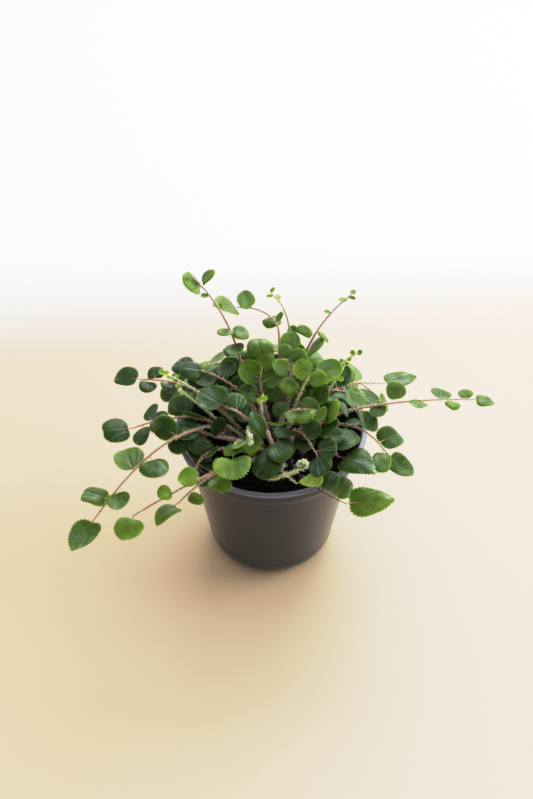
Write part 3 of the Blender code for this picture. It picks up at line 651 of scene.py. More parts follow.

# Each frond: its middle and tip in millimetres from the middle of the soil's level, its colour,
# and its leaflets. A leaflet is its share of the way up the stem, its side and its length in
# millimetres. One given in full is its share, length, heading (0 is +X, 90 is +Y), rise in
# degrees and breadth as a share of its length. Three numbers alone are a count, a length and
# a start for even leaflets.
fronds = [
    ("frond_front_left_long", (-46.5, -30.5, 36), (-93, -57, -1), "green",
     [(0.36, 14, -176, -2, 1.1), (0.52, 18, 141, 3, 0.75), (0.69, 16, -69, 5, 0.99),
      (0.78, 17.8, 112, 1, 0.93), (0.88, 13, -75, 5, 1.01), (0.91, 16.5, 158, 3, 0.78),
      (1, 21.5, -116, -9, 0.86)]),
    ("frond_front_left_low", (-32, -53, 30), (-73, -52, -3), "green",
     [(0.55, 12.5, 175, 0, 0.92), (0.74, 9, -164, 10, 1.03), (1, 15.4, -113, -12, 1.15)]),
    ("frond_front_left_short", (-26, -45, 25), (-48, -55, 11), "green",
     [(0.66, 13.8, -26, -8, 0.76), (0.90, 9.7, -19, -9, 0.75), (1, 16, -160, 6, 1)]),
    ("frond_right_long", (43, -16, 40), (109, -6, 38), "green",
     [(0.38, -1, 12), (0.47, 8.8, -160, 43, 1.08), (0.49, 14.8, 106, -2, 0.92),
      (0.57, 10.2, -15, -5, 1.07), (0.71, 12.8, 100, 11, 0.87),
      (0.80, 10.8, -117, 15, 1.0), (0.87, 11.3, 79, -17, 1.05), (0.91, 8.5, -90, 13, 1.03),
      (0.96, 8.7, 90, -2, 0.97), (1, 10.8, -3, -11, 0.96)]),
    ("frond_top_left_tall", (-20, 24, 53), (-42, 27, 95), "green",
     [(0.49, 10.6, -83, 7, 1.0), (0.56, 10.8, 11, -18, 1.07), (0.59, 9.4, -116, 4, 0.97),
      (0.72, 1, 5), (0.83, 6.5, -139, 4, 0.87), (0.88, 13.6, -173, 35, 1.16),
      (0.92, 11.4, 11, 40, 0.85), (1, 5, 150, 20, 0.8)]),
    ("frond_top_right_tall", (19, 23, 47), (43, 32, 79), "green",
     [(0.47, 15, -15, 50, 0.99), (0.61, 10.6, 157, 18, 0.69), (0.65, 9.5, 0, -48, 0.9),
      (0.80, 5.6, 152, 3, 0.6), (0.90, 6.4, 67, -11, 1.0), (0.96, 5.7, -31, -2, 0.7),
      (1, 4.8, 54, 6, 0.99)]),
    ("frond_top_thin", (10, 29, 49), (-1, 28, 83), "young",
     [(0.53, 7.3, 58, 34, 0.85), (0.75, 8, 179, -56, 0.65), (0.90, 4.5, 69, -4, 0.97),
      (0.95, 5, -169, -2, 0.7), (1, 5, 49, 33, 0.65)]),
    ("frond_front_right", (18.5, -46.5, 18), (38, -59, 15), "green",
     [(0.73, 13, 58, 22, 0.8), (0.88, 15, 62, 8, 0.75), (1, 25, 12, -12, 0.74)]),
    ("frond_front_pale", (5, -40, 20), (12.9, -51.5, 22), "young", [(1, 14, 7, -2, 0.6)]),
    ("frond_front_bright", (-15, -30, 31), (-19.5, -41, 35), "young",
     [(0.46, -1, 12), (0.54, 10.6, -25, -4, 1.2), (0.62, 12.8, -107, 1, 1.0), (0.80, -1, 11),
      (1, 17.6, -92, -8, 1.14)]),
    ("frond_front_middle", (-2, -26, 33), (2, -40, 33), "mature",
     [(0.45, 1, 13), (0.61, 14.9, 152, 5, 0.97), (0.79, 15.8, -54, -5, 0.99),
      (1, 16.2, -127, -23, 0.98)]),
    ("frond_front_inner", (13, -28, 37), (23, -42, 33), "mature",
     [(0.45, 1, 13), (0.55, -1, 12), (0.70, -1, 11), (0.93, 13, 143, 25, 1.01),
      (0.96, 12.8, 11, 29, 0.92), (1, 13.9, -79, -8, 0.94)]),
    ("frond_front_side", (23, -30, 37), (34, -41, 30.5), "mature",
     [(0.45, 1, 13), (0.55, -1, 13), (0.72, -1, 11), (0.87, 16.4, 36, 0, 0.9),
      (1, 20.5, -35, 12, 1)]),
    ("frond_right_front", (38, -22, 35), (60, -36, 27), "green",
     [(0.47, 9.7, 4, 8, 1.13), (0.76, 13.9, 86, 9, 0.85), (0.88, 15.6, 36, -5, 0.95),
      (0.94, 15, -98, -11, 0.7), (1, 17.4, -40, -22, 0.8)]),
    ("frond_top_left_back", (5, 48, 38), (-20, 70, 39), "green",
     [(0.56, 12, 121, -1, 0.96), (0.87, 12.3, 143, 44, 1.0), (1, 16.4, -152, 22, 1.3)]),
    ("frond_tip_right_upper", (29, 4, 41), (45, 6, 60), "young",
     [(0.55, 1, 9), (0.75, -1, 4), (0.85, 1, 4), (0.93, -1, 4), (1, 0, 5)]),
    ("frond_tip_right_lower", (27, -2, 34), (39, 8, 50), "young",
     [(0.42, 15, 59, 26, 0.85), (0.80, 1, 5), (0.90, -1, 4), (1, 0, 4)]),
    ("frond_crown_right", (14, -6, 39), (22, 2, 49), "young",
     [(0.45, 1, 12), (0.55, -1, 12), (0.80, 1, 11), (0.97, 11.7, -159, 50, 0.96),
      (1, 16.5, 15, 18, 0.95)]),
    ("frond_crown_left", (-5, 2, 33), (-5, 13, 46), "green",
     [(0.45, 1, 14), (0.50, -1, 14), (0.68, 1, 15), (0.74, -1, 14), (0.80, 15.5, 79, 34, 0.8),
      (1, 16, 103, 37, 0.98)]),
    ("frond_crown_middle", (10, 2, 37), (10, 12, 55), "green", (7, 11, 0.45)),
    ("frond_middle", (7, -17, 37), (28, -22, 43), "green",
     [(0.36, 12.7, -100, 4, 0.99), (0.41, 11, 95, 18, 0.88), (0.66, 1, 12),
      (0.78, 13.4, -90, 5, 0.95), (0.88, 1, 12), (1, 12, -45, 4, 1.2)]),
    ("frond_middle_left", (-13, -21, 38), (-24, -18, 44), "mature",
     [(0.40, 1, 12), (0.59, 13.1, 97, 10, 0.95), (0.75, 1, 12), (1, 18.5, 142, 3, 0.95)]),
    ("frond_middle_tip", (-5, -13, 33), (-5, -18, 49), "young",
     [(0.78, 1, 5), (0.90, -1, 5), (1, 0, 6)]),
    ("frond_left_upper", (-18, 2, 37), (-44, 15, 41), "mature",
     [(0.42, 1, 12), (0.55, -1, 13), (0.68, 1, 13), (0.86, 13.9, 176, 9, 0.9),
      (0.93, 13, -53, 1, 0.92), (1, 0, 13)]),
    ("frond_left_tip_upper", (-34, -3, 35), (-57, 3, 48), "young",
     [(0.86, 1, 4), (0.92, -1, 4), (0.97, 1, 4), (1, 0, 5)]),
    ("frond_left_tip_lower", (-30, -12, 30), (-49, -2, 42), "young",
     [(0.82, 1, 4), (0.93, -1, 4), (1, 0, 5)]),
    ("frond_left_middle", (-32, -22, 29), (-58, -13, 25), "mature", (6, 15, 0.40)),
    ("frond_left_front", (-30, -31, 25), (-40, -41, 18), "mature",
     [(0.45, 1, 12), (0.55, -1, 12), (0.82, 14.4, 115, -7, 1.0), (0.86, 12.5, 14, -8, 1.1),
      (1, 10, -40, -12, 0.9)]),
    ("frond_left_back", (-39, 9, 29), (-77, 40, 10), "mature",
     [(0.50, 1, 12), (0.55, -1, 13), (0.70, 1, 10), (0.76, 8.8, -64, 15, 1.03),
      (0.87, 11.2, 92, 3, 0.91), (0.92, 10.9, -90, 3, 0.98), (1, 17, 158, -7, 0.82)]),
    ("frond_left_long", (-40, -13, 31), (-76, -6, 16), "mature",
     [(0.50, -1, 14), (0.60, 1, 15), (0.87, 12.3, 83, 5, 0.88), (0.92, 13.9, -88, -8, 0.82),
      (1, 18, -158, 14, 0.9)]),
    ("frond_crown_back_left", (-9, 14, 29), (-18, 30, 33), "mature", (5, 14, 0.40)),
    ("frond_crown_back_right", (9, 16, 28), (17, 31, 31), "green", (5, 14, 0.40)),
    ("frond_right_back", (33, 9, 29), (64, 32, 14), "green",
     [(0.45, -1, 12), (0.50, 1, 13), (0.68, -1, 12), (0.72, 1, 11), (1, 21, 25, -10, 0.75)]),
]

# Each crozier: its middle and the top of its stem as above, and the radius of its curl.
croziers = [
    ("crozier_front_left", (-11, -24, 34), (-11.3, -38.5, 39.5), 2.4),
    ("crozier_front_right", (-1, -46, 20), (16.2, -50.6, 33), 2.6),
]


def aboveSoil(point):
    return np.array(point) * mm + (0, 0, soilSizes["height"])


# Leaflets on alternate sides, evenly spread and longest midway, with one at the tip.
def evenLeaflets(count, length, start):
    least, more, last = leafRule["evenGrowth"]
    leaves = []
    for index in range(count - 1):
        share = index / (count - 1)
        growth = least + more * math.sin(math.pi * share)
        leaves.append((start + (1 - start) * share, 1 - 2 * (index % 2), length * growth))
    return leaves + [(1, 0, length * last)]


def frondPlan(name, middle, tip, tint, leaves):
    return {"name": name, "middle": aboveSoil(middle), "tip": aboveSoil(tip), "tint": tint,
            "leaves": leaves if isinstance(leaves, list) else evenLeaflets(*leaves)}


# Croziers first, then the chosen fronds, then those behind, evenly turned round the back.
def frondPlans():
    plans = []
    for name, middle, tip, radius in croziers:
        plans.append(frondPlan(name, middle, tip, "young", []) | {"curl": radius * mm})
    plans += [frondPlan(*entry) for entry in fronds]
    rule = backRule
    up = np.array((0, 0, 1))
    for index in range(rule["count"]):
        turn = rule["from"] + (rule["to"] - rule["from"]) * (index + 0.5) / rule["count"]
        way = np.array((math.cos(turn), math.sin(turn), 0))
        pick = index % len(rule["reaches"])
        reach = rule["reaches"][pick]
        middle = way * reach * rule["middle"] + up * rule["middleHeights"][pick]
        tip = way * reach + up * rule["tipHeights"][pick]
        name = f"frond_back_{index + 1}"
        plans.append(frondPlan(name, middle, tip, rule["colours"][pick], rule["leaves"][pick]))
    return plans


# Roots on a sunflower pattern, swapped between stems until all lean the least.
def giveRoots(plans):
    rule = stemRule
    count = len(plans)
    turns = np.arange(count) * rule["rootTurn"]
    radii = rule["rootSpacing"] * np.sqrt(np.arange(count) + 0.5)
    roots = [np.array(point) for point in zip(radii * np.cos(turns), radii * np.sin(turns))]
    wishes = []
    for plan in plans:
        wish = plan["middle"][:2] * rule["rootReach"]
        wishes.append(wish * min(1, rule["rootLimit"] / np.linalg.norm(wish)))
    swapped = True
    while swapped:
        swapped = False
        for first in range(count):
            for second in range(first):
                step = (roots[second] - roots[first]) @ (wishes[first] - wishes[second])
                if step > rule["leastStep"]:
                    roots[first], roots[second] = roots[second], roots[first]
                    swapped = True
    for plan, root in zip(plans, roots):
        plan["root"] = root


# A parabola from the soil through the middle to the tip.
def stemPoints(plan):
    start = np.array((*plan["root"], soilSizes["height"] + soilSizes["dome"]))
    bend = plan["middle"] * 2 - (start + plan["tip"]) / 2
    run = np.linspace(0, 1, stemRule["segments"] + 1)[:, None]
    return start * (1 - run) ** 2 + bend * 2 * run * (1 - run) + plan["tip"] * run ** 2


# Stems that pass too close push each other apart, a little in each round.
def partStems(paths):
    rule = stemRule
    count, steps = paths.shape[:2]
    hold = np.clip(np.linspace(0, 1 / rule["heldShare"], steps), 0, 1)[None, :, None]
    owners = np.repeat(np.arange(count), steps - 1)
    for _ in range(rule["rounds"]):
        starts = paths[:, :-1].reshape(-1, 3)
        ends = paths[:, 1:].reshape(-1, 3)
        tested = [starts * (1 - share) + ends * share for share in rule["tested"]]
        push = np.zeros_like(paths)
        for first, second in product(tested, tested):
            away = first[:, None] - second[None]
            gaps = np.linalg.norm(away, axis=2)
            near = (gaps < rule["clearance"]) & (owners[:, None] != owners[None])
            strength = (rule["clearance"] - gaps) / np.maximum(gaps, rule["leastGap"])
            strength = np.where(near, strength, 0)
            move = (away * strength[:, :, None]).sum(1).reshape(count, steps - 1, 3)
            push[:, :-1] += move * rule["push"]
            push[:, 1:] += move * rule["push"]
        paths = paths + push * hold
    return paths


# A crozier's coil: a spiral that winds in, in the upright plane of the stem's last run.
def curlPoints(plan, end, way):
    side = unit(np.cross(way, (0, 0, 1)))
    inward = unit(np.cross(side, way))
    run = np.arange(1, curlRule["points"] + 1)[:, None] / curlRule["points"]
    turn = run * curlRule["turns"] * fullTurn
    radius = plan["curl"] * (1 - curlRule["tightening"] * run)
    middle = end + inward * plan["curl"]
    return middle - inward * radius * np.cos(turn) + way * radius * np.sin(turn)


# A stem from the bottom of its hole to its end, with the coil of a crozier.
def fullPath(plan):
    path = plan["path"]
    foot = np.array([[*path[0, :2], soilSizes["height"] - stemRule["rootDepth"]]])
    points = np.concatenate([foot, path])
    if "curl" in plan:
        way = unit(points[-1] - points[-2])
        points = np.concatenate([points, curlPoints(plan, points[-1], way)])
    return points


# The place and the direction at a share of the way up a stem.
def alongStem(path, run):
    place = run * (len(path) - 1)
    index = min(int(place), len(path) - 2)
    step = path[index + 1] - path[index]
    return path[index] + step * (place - index), unit(step)


# The leaflets of a frond as wished, with small seeded differences in set and shape.
def wishedLeaflets(plan, draw):
    rule = leafRule
    leaves = []
    for run, *wish in plan["leaves"]:
        base, way = alongStem(plan["path"], min(run, rule["tipRun"]))
        leaf = {"base": base, "way": way, "run": run}
        for key in ("lift", "roll", "width", "cup", "fold"):
            leaf[key] = draw.uniform(*rule[key + "s"])
        if len(wish) == 2:
            side, length = wish
            leaf["side"] = side or 1
            leaf["swing"] = draw.uniform(*rule["sideSwings" if side else "tipSwings"])
            leaf["length"] = length * mm * draw.uniform(*rule["lengths"])
        else:
            length, leaf["swing"], leaf["rise"], leaf["width"] = wish
            leaf["length"] = length * mm
            leaf["lift"] *= rule["setCalm"]
            leaf["roll"] *= rule["setCalm"]
        leaves.append(leaf)
    return leaves


# A vector turned about a unit axis: it times the angle's cosine, the cross product times its
# sine, and its share along the axis times one less the cosine.
def turnedAbout(vector, axis, degrees):
    turn = math.radians(degrees)
    cosine, sine = math.cos(turn), math.sin(turn)
    return vector * cosine + np.cross(axis, vector) * sine + axis * (axis @ vector) * (1 - cosine)


# A leaflet's own directions: along it, across it, and out of its upper face.
def leafletAxes(leaf, lift, swing, roll):
    turn = math.radians(leaf["swing"] + swing)
    if "rise" in leaf:
        facing = leafRule["setFacing"]
        rise = math.radians(leaf["rise"])
        along = np.array((math.cos(turn), math.sin(turn), 0)) * math.cos(rise)
        along = along + (0, 0, math.sin(rise))
    else:
        facing = leafRule["facing"]
        way = leaf["way"]
        across = unit(np.cross(way, facing)) * leaf["side"]
        along = unit(way * math.cos(turn) + across * math.sin(turn))
        facing = facing - way * (facing @ way) * leafRule["flatness"]
    out = unit(facing - along * (facing @ along))
    hinge = unit(np.cross(along, out))
    along = turnedAbout(along, hinge, leaf["lift"] + lift)
    out = turnedAbout(out, hinge, leaf["lift"] + lift)
    out = turnedAbout(out, along, leaf["roll"] + roll)
    return along, np.cross(out, along), out


# The plain blade's middle surface: its centre, then its rim from the stalk around.
def plainBlade(leaf, grow=0.0):
    length = leaf["length"]
    centre = length * (1 + leafRule["stalkShare"]) / 2
    sides = leafRule["sides"] - 1
    turn = -math.pi * (1 - (2 * np.arange(sides) + 1) / sides)
    forward = np.concatenate([[centre, -grow], centre + (length - centre + grow) * np.cos(turn)])
    aside = np.concatenate([[0, 0], (length * leaf["width"] / 2 + grow) * np.sin(turn)])
    flat = np.stack([forward, aside, leaf["fold"] * np.abs(aside)], 1)
    points = leaf["base"] + flat @ np.array([leaf["along"], leaf["across"], leaf["out"]])
    points[0] -= leaf["out"] * leaf["cup"] * length
    return points


# The plain blade as a thin closed form, grown by a clearance, to test it for contact.
def bladeTree(leaf, grow):
    offset = leaf["out"] * (leafRule["thickness"] / 2 + grow)
    surface = plainBlade(leaf, grow)
    points = np.concatenate([surface + offset, surface - offset])
    low = leafRule["sides"] + 1
    faces = []
    for index in range(leafRule["sides"]):
        here = 1 + index
        after = 1 + (index + 1) % leafRule["sides"]
        faces += [(0, here, after), (low, low + after, low + here)]
        faces += [(here, low + here, low + after), (here, low + after, after)]
    return BVHTree.FromPolygons(points.tolist(), faces, all_triangles=True)


# A net of triangles over rows of points, to test a leaflet for contact.
def netTree(rows, closed):
    width = len(rows[0])
    faces = []
    for row in range(len(rows) if closed == "rows" else len(rows) - 1):
        after = (row + 1) % len(rows)
        for column in range(width if closed == "columns" else width - 1):
            beside = (column + 1) % width
            corners = [row * width + column, row * width + beside,
                       after * width + beside, after * width + column]
            faces += [corners[:3], [corners[0], *corners[2:]]]
    points = [point for row in rows for point in row]
    return BVHTree.FromPolygons(points, faces, all_triangles=True)


# A stem as a three-sided tube, grown by a clearance.
def stemTree(plan):
    path = fullPath(plan)
    radius = (stemRule["rootRadius"] + leafRule["clearance"]) * stemRule["guardShare"]
    turn = turnsRound(stemRule["guardSides"])[:, None]
    rows = []
    for index, point in enumerate(path):
        way = unit(path[min(index + 1, len(path) - 1)] - path[max(index - 1, 0)])
        side = np.array(Vector(way).orthogonal().normalized())
        other = np.cross(way, side)
        rows.append((point + (side * np.cos(turn) + other * np.sin(turn)) * radius).tolist())
    return netTree(rows, "columns")


# The rim, the upper wall and the soil, grown by a clearance.
def potTree():
    pot = potSizes
    grow = leafRule["clearance"] * 2
    profile = [
        (0, soilTop(0) + grow * 2),
        (pot["wallTopRadius"] - pot["wall"] - grow, soilSizes["height"] + grow),
        (pot["wallTopRadius"] - pot["wall"] - grow, pot["height"] + grow),
        (pot["rimRadius"] + grow, pot["height"] + grow),
        (pot["rimRadius"] + grow, pot["height"] - pot["rimDepth"] - grow),
        (pot["wallTopRadius"] + grow, pot["height"] - pot["rimDepth"] - grow * 3),
        (pot["wallLowRadius"] + grow, pot["wallLowHeight"]),
    ]
    rows = [[(radius * math.cos(turn), radius * math.sin(turn), height)
             for radius, height in profile] for turn in turnsRound(leafRule["potGuardSides"])]
    return netTree(rows, "rows")


# Sets every leaflet, turned, lifted or shrunk until it is clear of the other fronds.
def placeLeaflets(plans):
    draw = np.random.default_rng(leafRule["seed"])
    pot = potTree()
    taken = []
    for plan in plans:
        middle = plan["path"].mean(0)
        reach = np.linalg.norm(plan["path"] - middle, axis=1).max()
        reach = reach + stemRule["guardMargin"]
        taken.append((plan["name"], middle, reach, stemTree(plan), "stem"))
    for plan in plans:
        plan["leaflets"] = []
        for leaf in wishedLeaflets(plan, draw):
            found = clearLeaflet(plan, leaf, taken, pot)
            if found:
                plan["leaflets"].append(found)
                centre = found["base"] + found["along"] * found["length"] / 2
                reach = found["length"] * leafRule["nearShares"][0]
                taken.append((plan["name"], centre, reach, bladeTree(found, 0), "leaf"))


# The first way to set a leaflet in which it touches nothing, or else only its own frond's blades.
def clearLeaflet(plan, leaf, taken, pot):
    rule = leafRule
    wished = leaf["length"]
    around = wished * rule["nearShares"][1]
    near = [entry for entry in taken
            if np.linalg.norm(entry[1] - leaf["base"]) < entry[2] + around]
    others = [entry[3] for entry in near if entry[0] != plan["name"]]
    own = [entry[3] for entry in near if entry[0] == plan["name"] and entry[4] == "leaf"]
    spare = None
    ways = [rule["tried" + name] for name in ("Scales", "Lifts", "Swings", "Rolls")]
    for scale, lift, swing, roll in product(*ways):
        along, across, out = leafletAxes(leaf, lift, swing, roll)
        trial = dict(leaf, along=along, across=across, out=out, length=wished * scale)
        tree = bladeTree(trial, rule["clearance"])
        if plainBlade(trial)[:, 2].min() < rule["tableClearance"] or tree.overlap(pot):
            continue
        if any(tree.overlap(other) for other in others):
            continue
        if not any(tree.overlap(other) for other in own):
            return trial
        spare = spare or trial
    return spare


# Fronds: their fine form

bladeForm = {
    "teeth": 32,
    "toothPoints": 3,
    "toothDepth": 0.16,  # a share of half the blade's length, and no more than the size
    "toothSize": 1.0 * mm,
    "toothSpread": (0.7, 1.25),
    "toothReach": 12,  # the power of a ring's share by which the teeth fade inward
    "pleat": 0.18 * mm,  # the rim waves up and down with its teeth
    "pleatMiddle": 0.6,
    "ringShares": (0.28, 0.55, 0.80, 0.95),
    "halfThickness": 0.24 * mm,
    "squares": (2.0, 2.65),  # 2 is an oval, more is squarer
    "egg": 0.07,  # broader towards the stalk
    "notch": (0.09, 0.30),  # how deep and wide the blade's base draws in at its stalk
    "point": 0,  # how far the tip is drawn out, as a share of half the blade's length
    "lean": 0.10,
    "pointWidth": 0.42,
    "ruffle": 0.036,
    "ruffleSpread": (0.2, 1.3),
    "ruffleWaves": (2, 4),
    "edgeDroop": (-0.06, 0.12),
    "bend": (-0.25, 0.60),  # how far the blade arches along its midrib
    "level": 0.5,  # the share of half the length at which the arch is level with the rest
    "ribSoftness": 1.8 * mm,
    "smallLength": 6.6 * mm,  # shorter blades are young: smaller still, fresh and pale with a painted glow, and cupped
    "smallShare": 0.76,
    "smallBowl": 0.14,
    "smallFreshAndGlow": 1.0,
    "freshSpread": 0.6,
    "stalkRadius": 0.32 * mm,
    "stalkSides": 6,
    "stalkPlaces": (-0.02, 0.06, 0.30),  # shares of the leaflet's length
    "stalkThinning": (1.0, 0.85, 0.45),
    "fullLength": 14 * mm,  # shorter leaflets have thinner stalks
    "seed": 5,
}

stemForm = {
    "samples": 44,
    "coilSamples": 90,
    "sides": 8,
    "rootRadius": 0.88 * mm,
    "tipRadius": 0.34 * mm,
    "coilRadius": 0.55 * mm,
    "ending": (0.92, 0.75, 0.45),  # how the last rings close in
    "bareShare": 0.62,  # a dark bare stem is thinner, with fewer hairs
    "bareHairs": 5,
    "hairStart": 2 * mm,  # above the soil
    "hairSpacing": 0.09 * mm,
    "hairLengths": (0.6 * mm, 1.9 * mm),
    "hairShortening": (1.15, 0.55),  # at the root, and less towards the tip
    "hairLean": (-0.2, 0.7),
    "hairDepth": 0.9,  # a share of the stem's radius
    "hairRadius": 0.12 * mm,
    "coilHairSpacing": 0.030 * mm,
    "coilLength": 6,  # the coil's length and its budded part's, in its own radii
    "budLength": 7,
    "budFrom": 0.60,
    "budSpacing": 1.1 * mm,
    "budSize": 0.75 * mm,
    "budSpread": (0.7, 1.15),
    "budOut": 0.8,
    "budSides": 8,
    "budLevels": (-50, -15, 20, 55),
}

ages = {"mature": 0.10, "green": 0.45, "young": 0.85, "crozier": 1.25}


# How some fronds differ: how fresh their leaflets are, from dull and dark to bright (the others
# vary by chance), whether the stem is bare, and for the last leaflet how far it is drawn out to
# a point, where less than nothing is a notch, how its base is notched, and how it broadens to
# the stalk.
frondTouches = {
    "frond_left_long": {"fresh": 0.10, "point": -0.12},
    "frond_left_back": {"fresh": 0.05},
    "frond_left_upper": {"fresh": 0.15},
    "frond_left_middle": {"fresh": 0.10},
    "frond_left_front": {"fresh": 0.40},
    "frond_left_tip_upper": {"fresh": 0.15},
    "frond_left_tip_lower": {"fresh": 0.10},
    "frond_middle_left": {"fresh": 0.10},
    "frond_front_left_long": {"fresh": 0.05, "point": 0.26},
    # painted sheen: this fresh, the leaflets are painted towards the pale edge colour
    "frond_front_left_low": {"fresh": 1.90, "point": 0.12},
    "frond_front_left_short": {"fresh": 0.60, "point": 0.16},
    "frond_top_left_tall": {"fresh": 0.75},
    "frond_top_left_back": {"fresh": 0.70, "point": 0.25},
    "frond_crown_left": {"fresh": 0.60},
    "frond_crown_middle": {"fresh": 0.80},
    "frond_crown_right": {"fresh": 0.35},
    "frond_top_right_tall": {"fresh": 0.80},
    "frond_front_right": {"fresh": 0.30, "point": 0.42, "bare": True},
    "frond_right_front": {"fresh": 0.00, "point": 0.10},
    "frond_right_long": {"fresh": 0.20, "point": 0.30},
    "frond_right_back": {"fresh": 0.30, "point": 0.30},
    "frond_front_side": {"fresh": 0.30, "point": 0.26},
    "frond_front_inner": {"fresh": 0.15},
    "frond_front_middle": {"fresh": 0.20},
    "frond_front_bright": {"fresh": 0.35, "notch": (0.45, 0.62)},
    "frond_middle": {"fresh": 0.60},
    "frond_front_pale": {"fresh": 2.60, "egg": -0.60},
}


# All blades of a frond at once. The outline is an oval about the blade's centre whose power,
# its squareness, differs from leaf to leaf. It is broader and drawn in at the stalk, with
# round teeth, and a point narrows it away from the tip. The frond's last leaflet may have its
# own notch, breadth and point. The height is the fold times the distance from the midrib, less
# the cup in the middle and the bend times the square of the distance along the midrib, plus a
# wave around the rim, a pleat at each tooth, a droop of the rim, and a bowl on small blades.
# The rings run from the middle of the lower face over the rim to the middle of the upper face,
# and the thickness falls to nothing at the rim.
def bladeForms(leaves, draw, touch):
    look = bladeForm
    count = len(leaves)
    sectors = look["teeth"] * look["toothPoints"]
    turn = turnsRound(sectors)
    shares = np.array((*look["ringShares"], 1, *look["ringShares"][::-1]))
    upper = np.sign(np.arange(len(shares)) - len(look["ringShares"]))
    column = {key: np.array([leaf[key] for leaf in leaves])[:, None, None]
              for key in ("length", "width", "cup", "fold", "run")}
    small = column["length"] < look["smallLength"]
    length = column["length"] * np.where(small, look["smallShare"], 1)
    half = length * (1 - leafRule["stalkShare"]) / 2
    centre = length - half
    ring = shares[None, :, None]

    cosine, sine = np.cos(turn), np.sin(turn)
    square = draw.uniform(*look["squares"], (count, 1, 1))
    outline = (np.abs(cosine) ** square + np.abs(sine) ** square) ** (-1 / square)
    behind = math.pi - np.abs((turn + math.pi) % fullTurn - math.pi)
    shapes = [look | (touch if leaf["run"] == 1 else {}) for leaf in leaves]
    point, egg, notch = (np.array([shape[key] for shape in shapes]).T[..., None, None]
                         for key in ("point", "egg", "notch"))
    depth, wide = notch
    outline = outline * (1 - depth * np.exp(-(behind / wide) ** 2))
    toTip = np.exp(-(np.pi - behind) / look["pointWidth"])
    outline = outline * (1 + point * (toTip - 0.5 * (1 + cosine) * np.abs(sine)))
    teeth = np.abs(np.sin(look["teeth"] * turn / 2))
    uneven = draw.uniform(*look["toothSpread"], (count, 1, sectors))
    bite = np.minimum(look["toothDepth"], look["toothSize"] / half)
    reach = outline * ring * (1 - bite * (1 - teeth) * uneven * ring ** look["toothReach"])
    lean = draw.uniform(-look["lean"], look["lean"], (count, 1, 1))
    forward = centre + half * reach * cosine
    aside = length * column["width"] / 2 * reach * sine * (1 - egg * cosine + lean * sine)

    phase = draw.uniform(0, fullTurn, (count, 1, 1))
    waves = draw.integers(*look["ruffleWaves"], (count, 1, 1))
    ruffle = length * look["ruffle"] * draw.uniform(*look["ruffleSpread"], (count, 1, 1))
    soft = look["ribSoftness"]
    height = column["fold"] * (np.sqrt(aside ** 2 + soft ** 2) - soft)
    height = height - column["cup"] * length * (1 - ring ** 2)
    height = height + ruffle * ring ** 3 * np.sin(waves * turn + phase)
    height = height + look["pleat"] * ring ** 5 * (teeth - look["pleatMiddle"])
    bend = draw.uniform(*look["bend"], (count, 1, 1)) / length
    height = height - bend * ((forward - centre) ** 2 - (half * look["level"]) ** 2)
    height = height - length * draw.uniform(*look["edgeDroop"], (count, 1, 1)) * ring ** 6
    height = height + small * length * look["smallBowl"] * ring ** 2
    thickness = look["halfThickness"] * np.sqrt(np.maximum(1 - ring ** 4, 0)) * upper[None, :, None]
    height = height + thickness

    axes = np.array([[leaf["along"], leaf["across"], leaf["out"]] for leaf in leaves])
    base = np.array([leaf["base"] for leaf in leaves])
    flat = np.stack([forward, aside, height], -1)
    rings = base[:, None, None] + np.einsum("lrsk,lkc->lrsc", flat, axes)
    middle = centre[:, 0, 0]
    sunk = (bend * (half * look["level"]) ** 2 - column["cup"] * length)[:, 0, 0]
    poles = [perPoint(middle, middle, 0, sunk + sign * look["halfThickness"]) for sign in (-1, 1)]
    poles = [base + np.einsum("lk,lkc->lc", pole, axes) for pole in poles]
    points, faces = closedForm(rings, *poles)

    around = 0 * forward
    breadth = length * column["width"] / 2
    place = np.stack([forward / length, aside / breadth, ring + around], -1)
    middlePlace = perPoint(middle, middle / length[:, 0, 0], 0, 0)
    place = closedValues(place, middlePlace, middlePlace)
    tone = draw.uniform(0, 1, (count, 1, 1))
    if "fresh" in touch:
        tone = touch["fresh"] + (tone - 0.5) * look["freshSpread"]
    # Small blades are pushed towards the pale edge colour: their own paleness and a painted glow.
    tone = tone + small * look["smallFreshAndGlow"]
    side = 0.5 + 0.5 * upper[None, :, None]
    values = np.stack([tone + around, column["run"] + around, side + around], -1)
    low = values[:, 0, 0] * (1, 1, 0)
    high = low + (0, 0, 1)
    return points, faces, place, closedValues(values, low, high)


# Short stalks: a straight tube for each blade, from inside the stem to inside the blade.
def stalkForms(leaves):
    look = bladeForm
    base, along, across, out = (np.array([leaf[key] for leaf in leaves])
                                for key in ("base", "along", "across", "out"))
    length = np.array([leaf["length"] for leaf in leaves])[:, None]
    thin = np.array(look["stalkThinning"])[:, None, None]
    centre = base[:, None] + along[:, None] * (length * look["stalkPlaces"])[:, :, None]
    radius = look["stalkRadius"] * np.minimum(1, length[:, :, None, None] / look["fullLength"])
    rings = centre[:, :, None] + spokes(across, out, look["stalkSides"])[:, None] * thin * radius
    return closedForm(rings, centre[:, 0], centre[:, -1])


# Slender three-sided hairs: a small triangle around each root, and a tip.
def hairForms(roots, outward, lengths, radius):
    side = unit(np.cross(outward, outward[:, [1, 2, 0]] + 0.31))  # any direction beside the hair
    spread = spokes(side, np.cross(outward, side), 3)
    tips = roots + outward * lengths[:, None]
    points = np.concatenate([roots[:, None] + spread * radius, tips[:, None]], 1)
    faces = np.array([(0, 1, 3), (1, 2, 3), (2, 0, 3), (0, 2, 1)])
    faces = faces[None] + np.arange(len(roots))[:, None, None] * 4
    return points.reshape(-1, 3), faces.reshape(-1, 3)


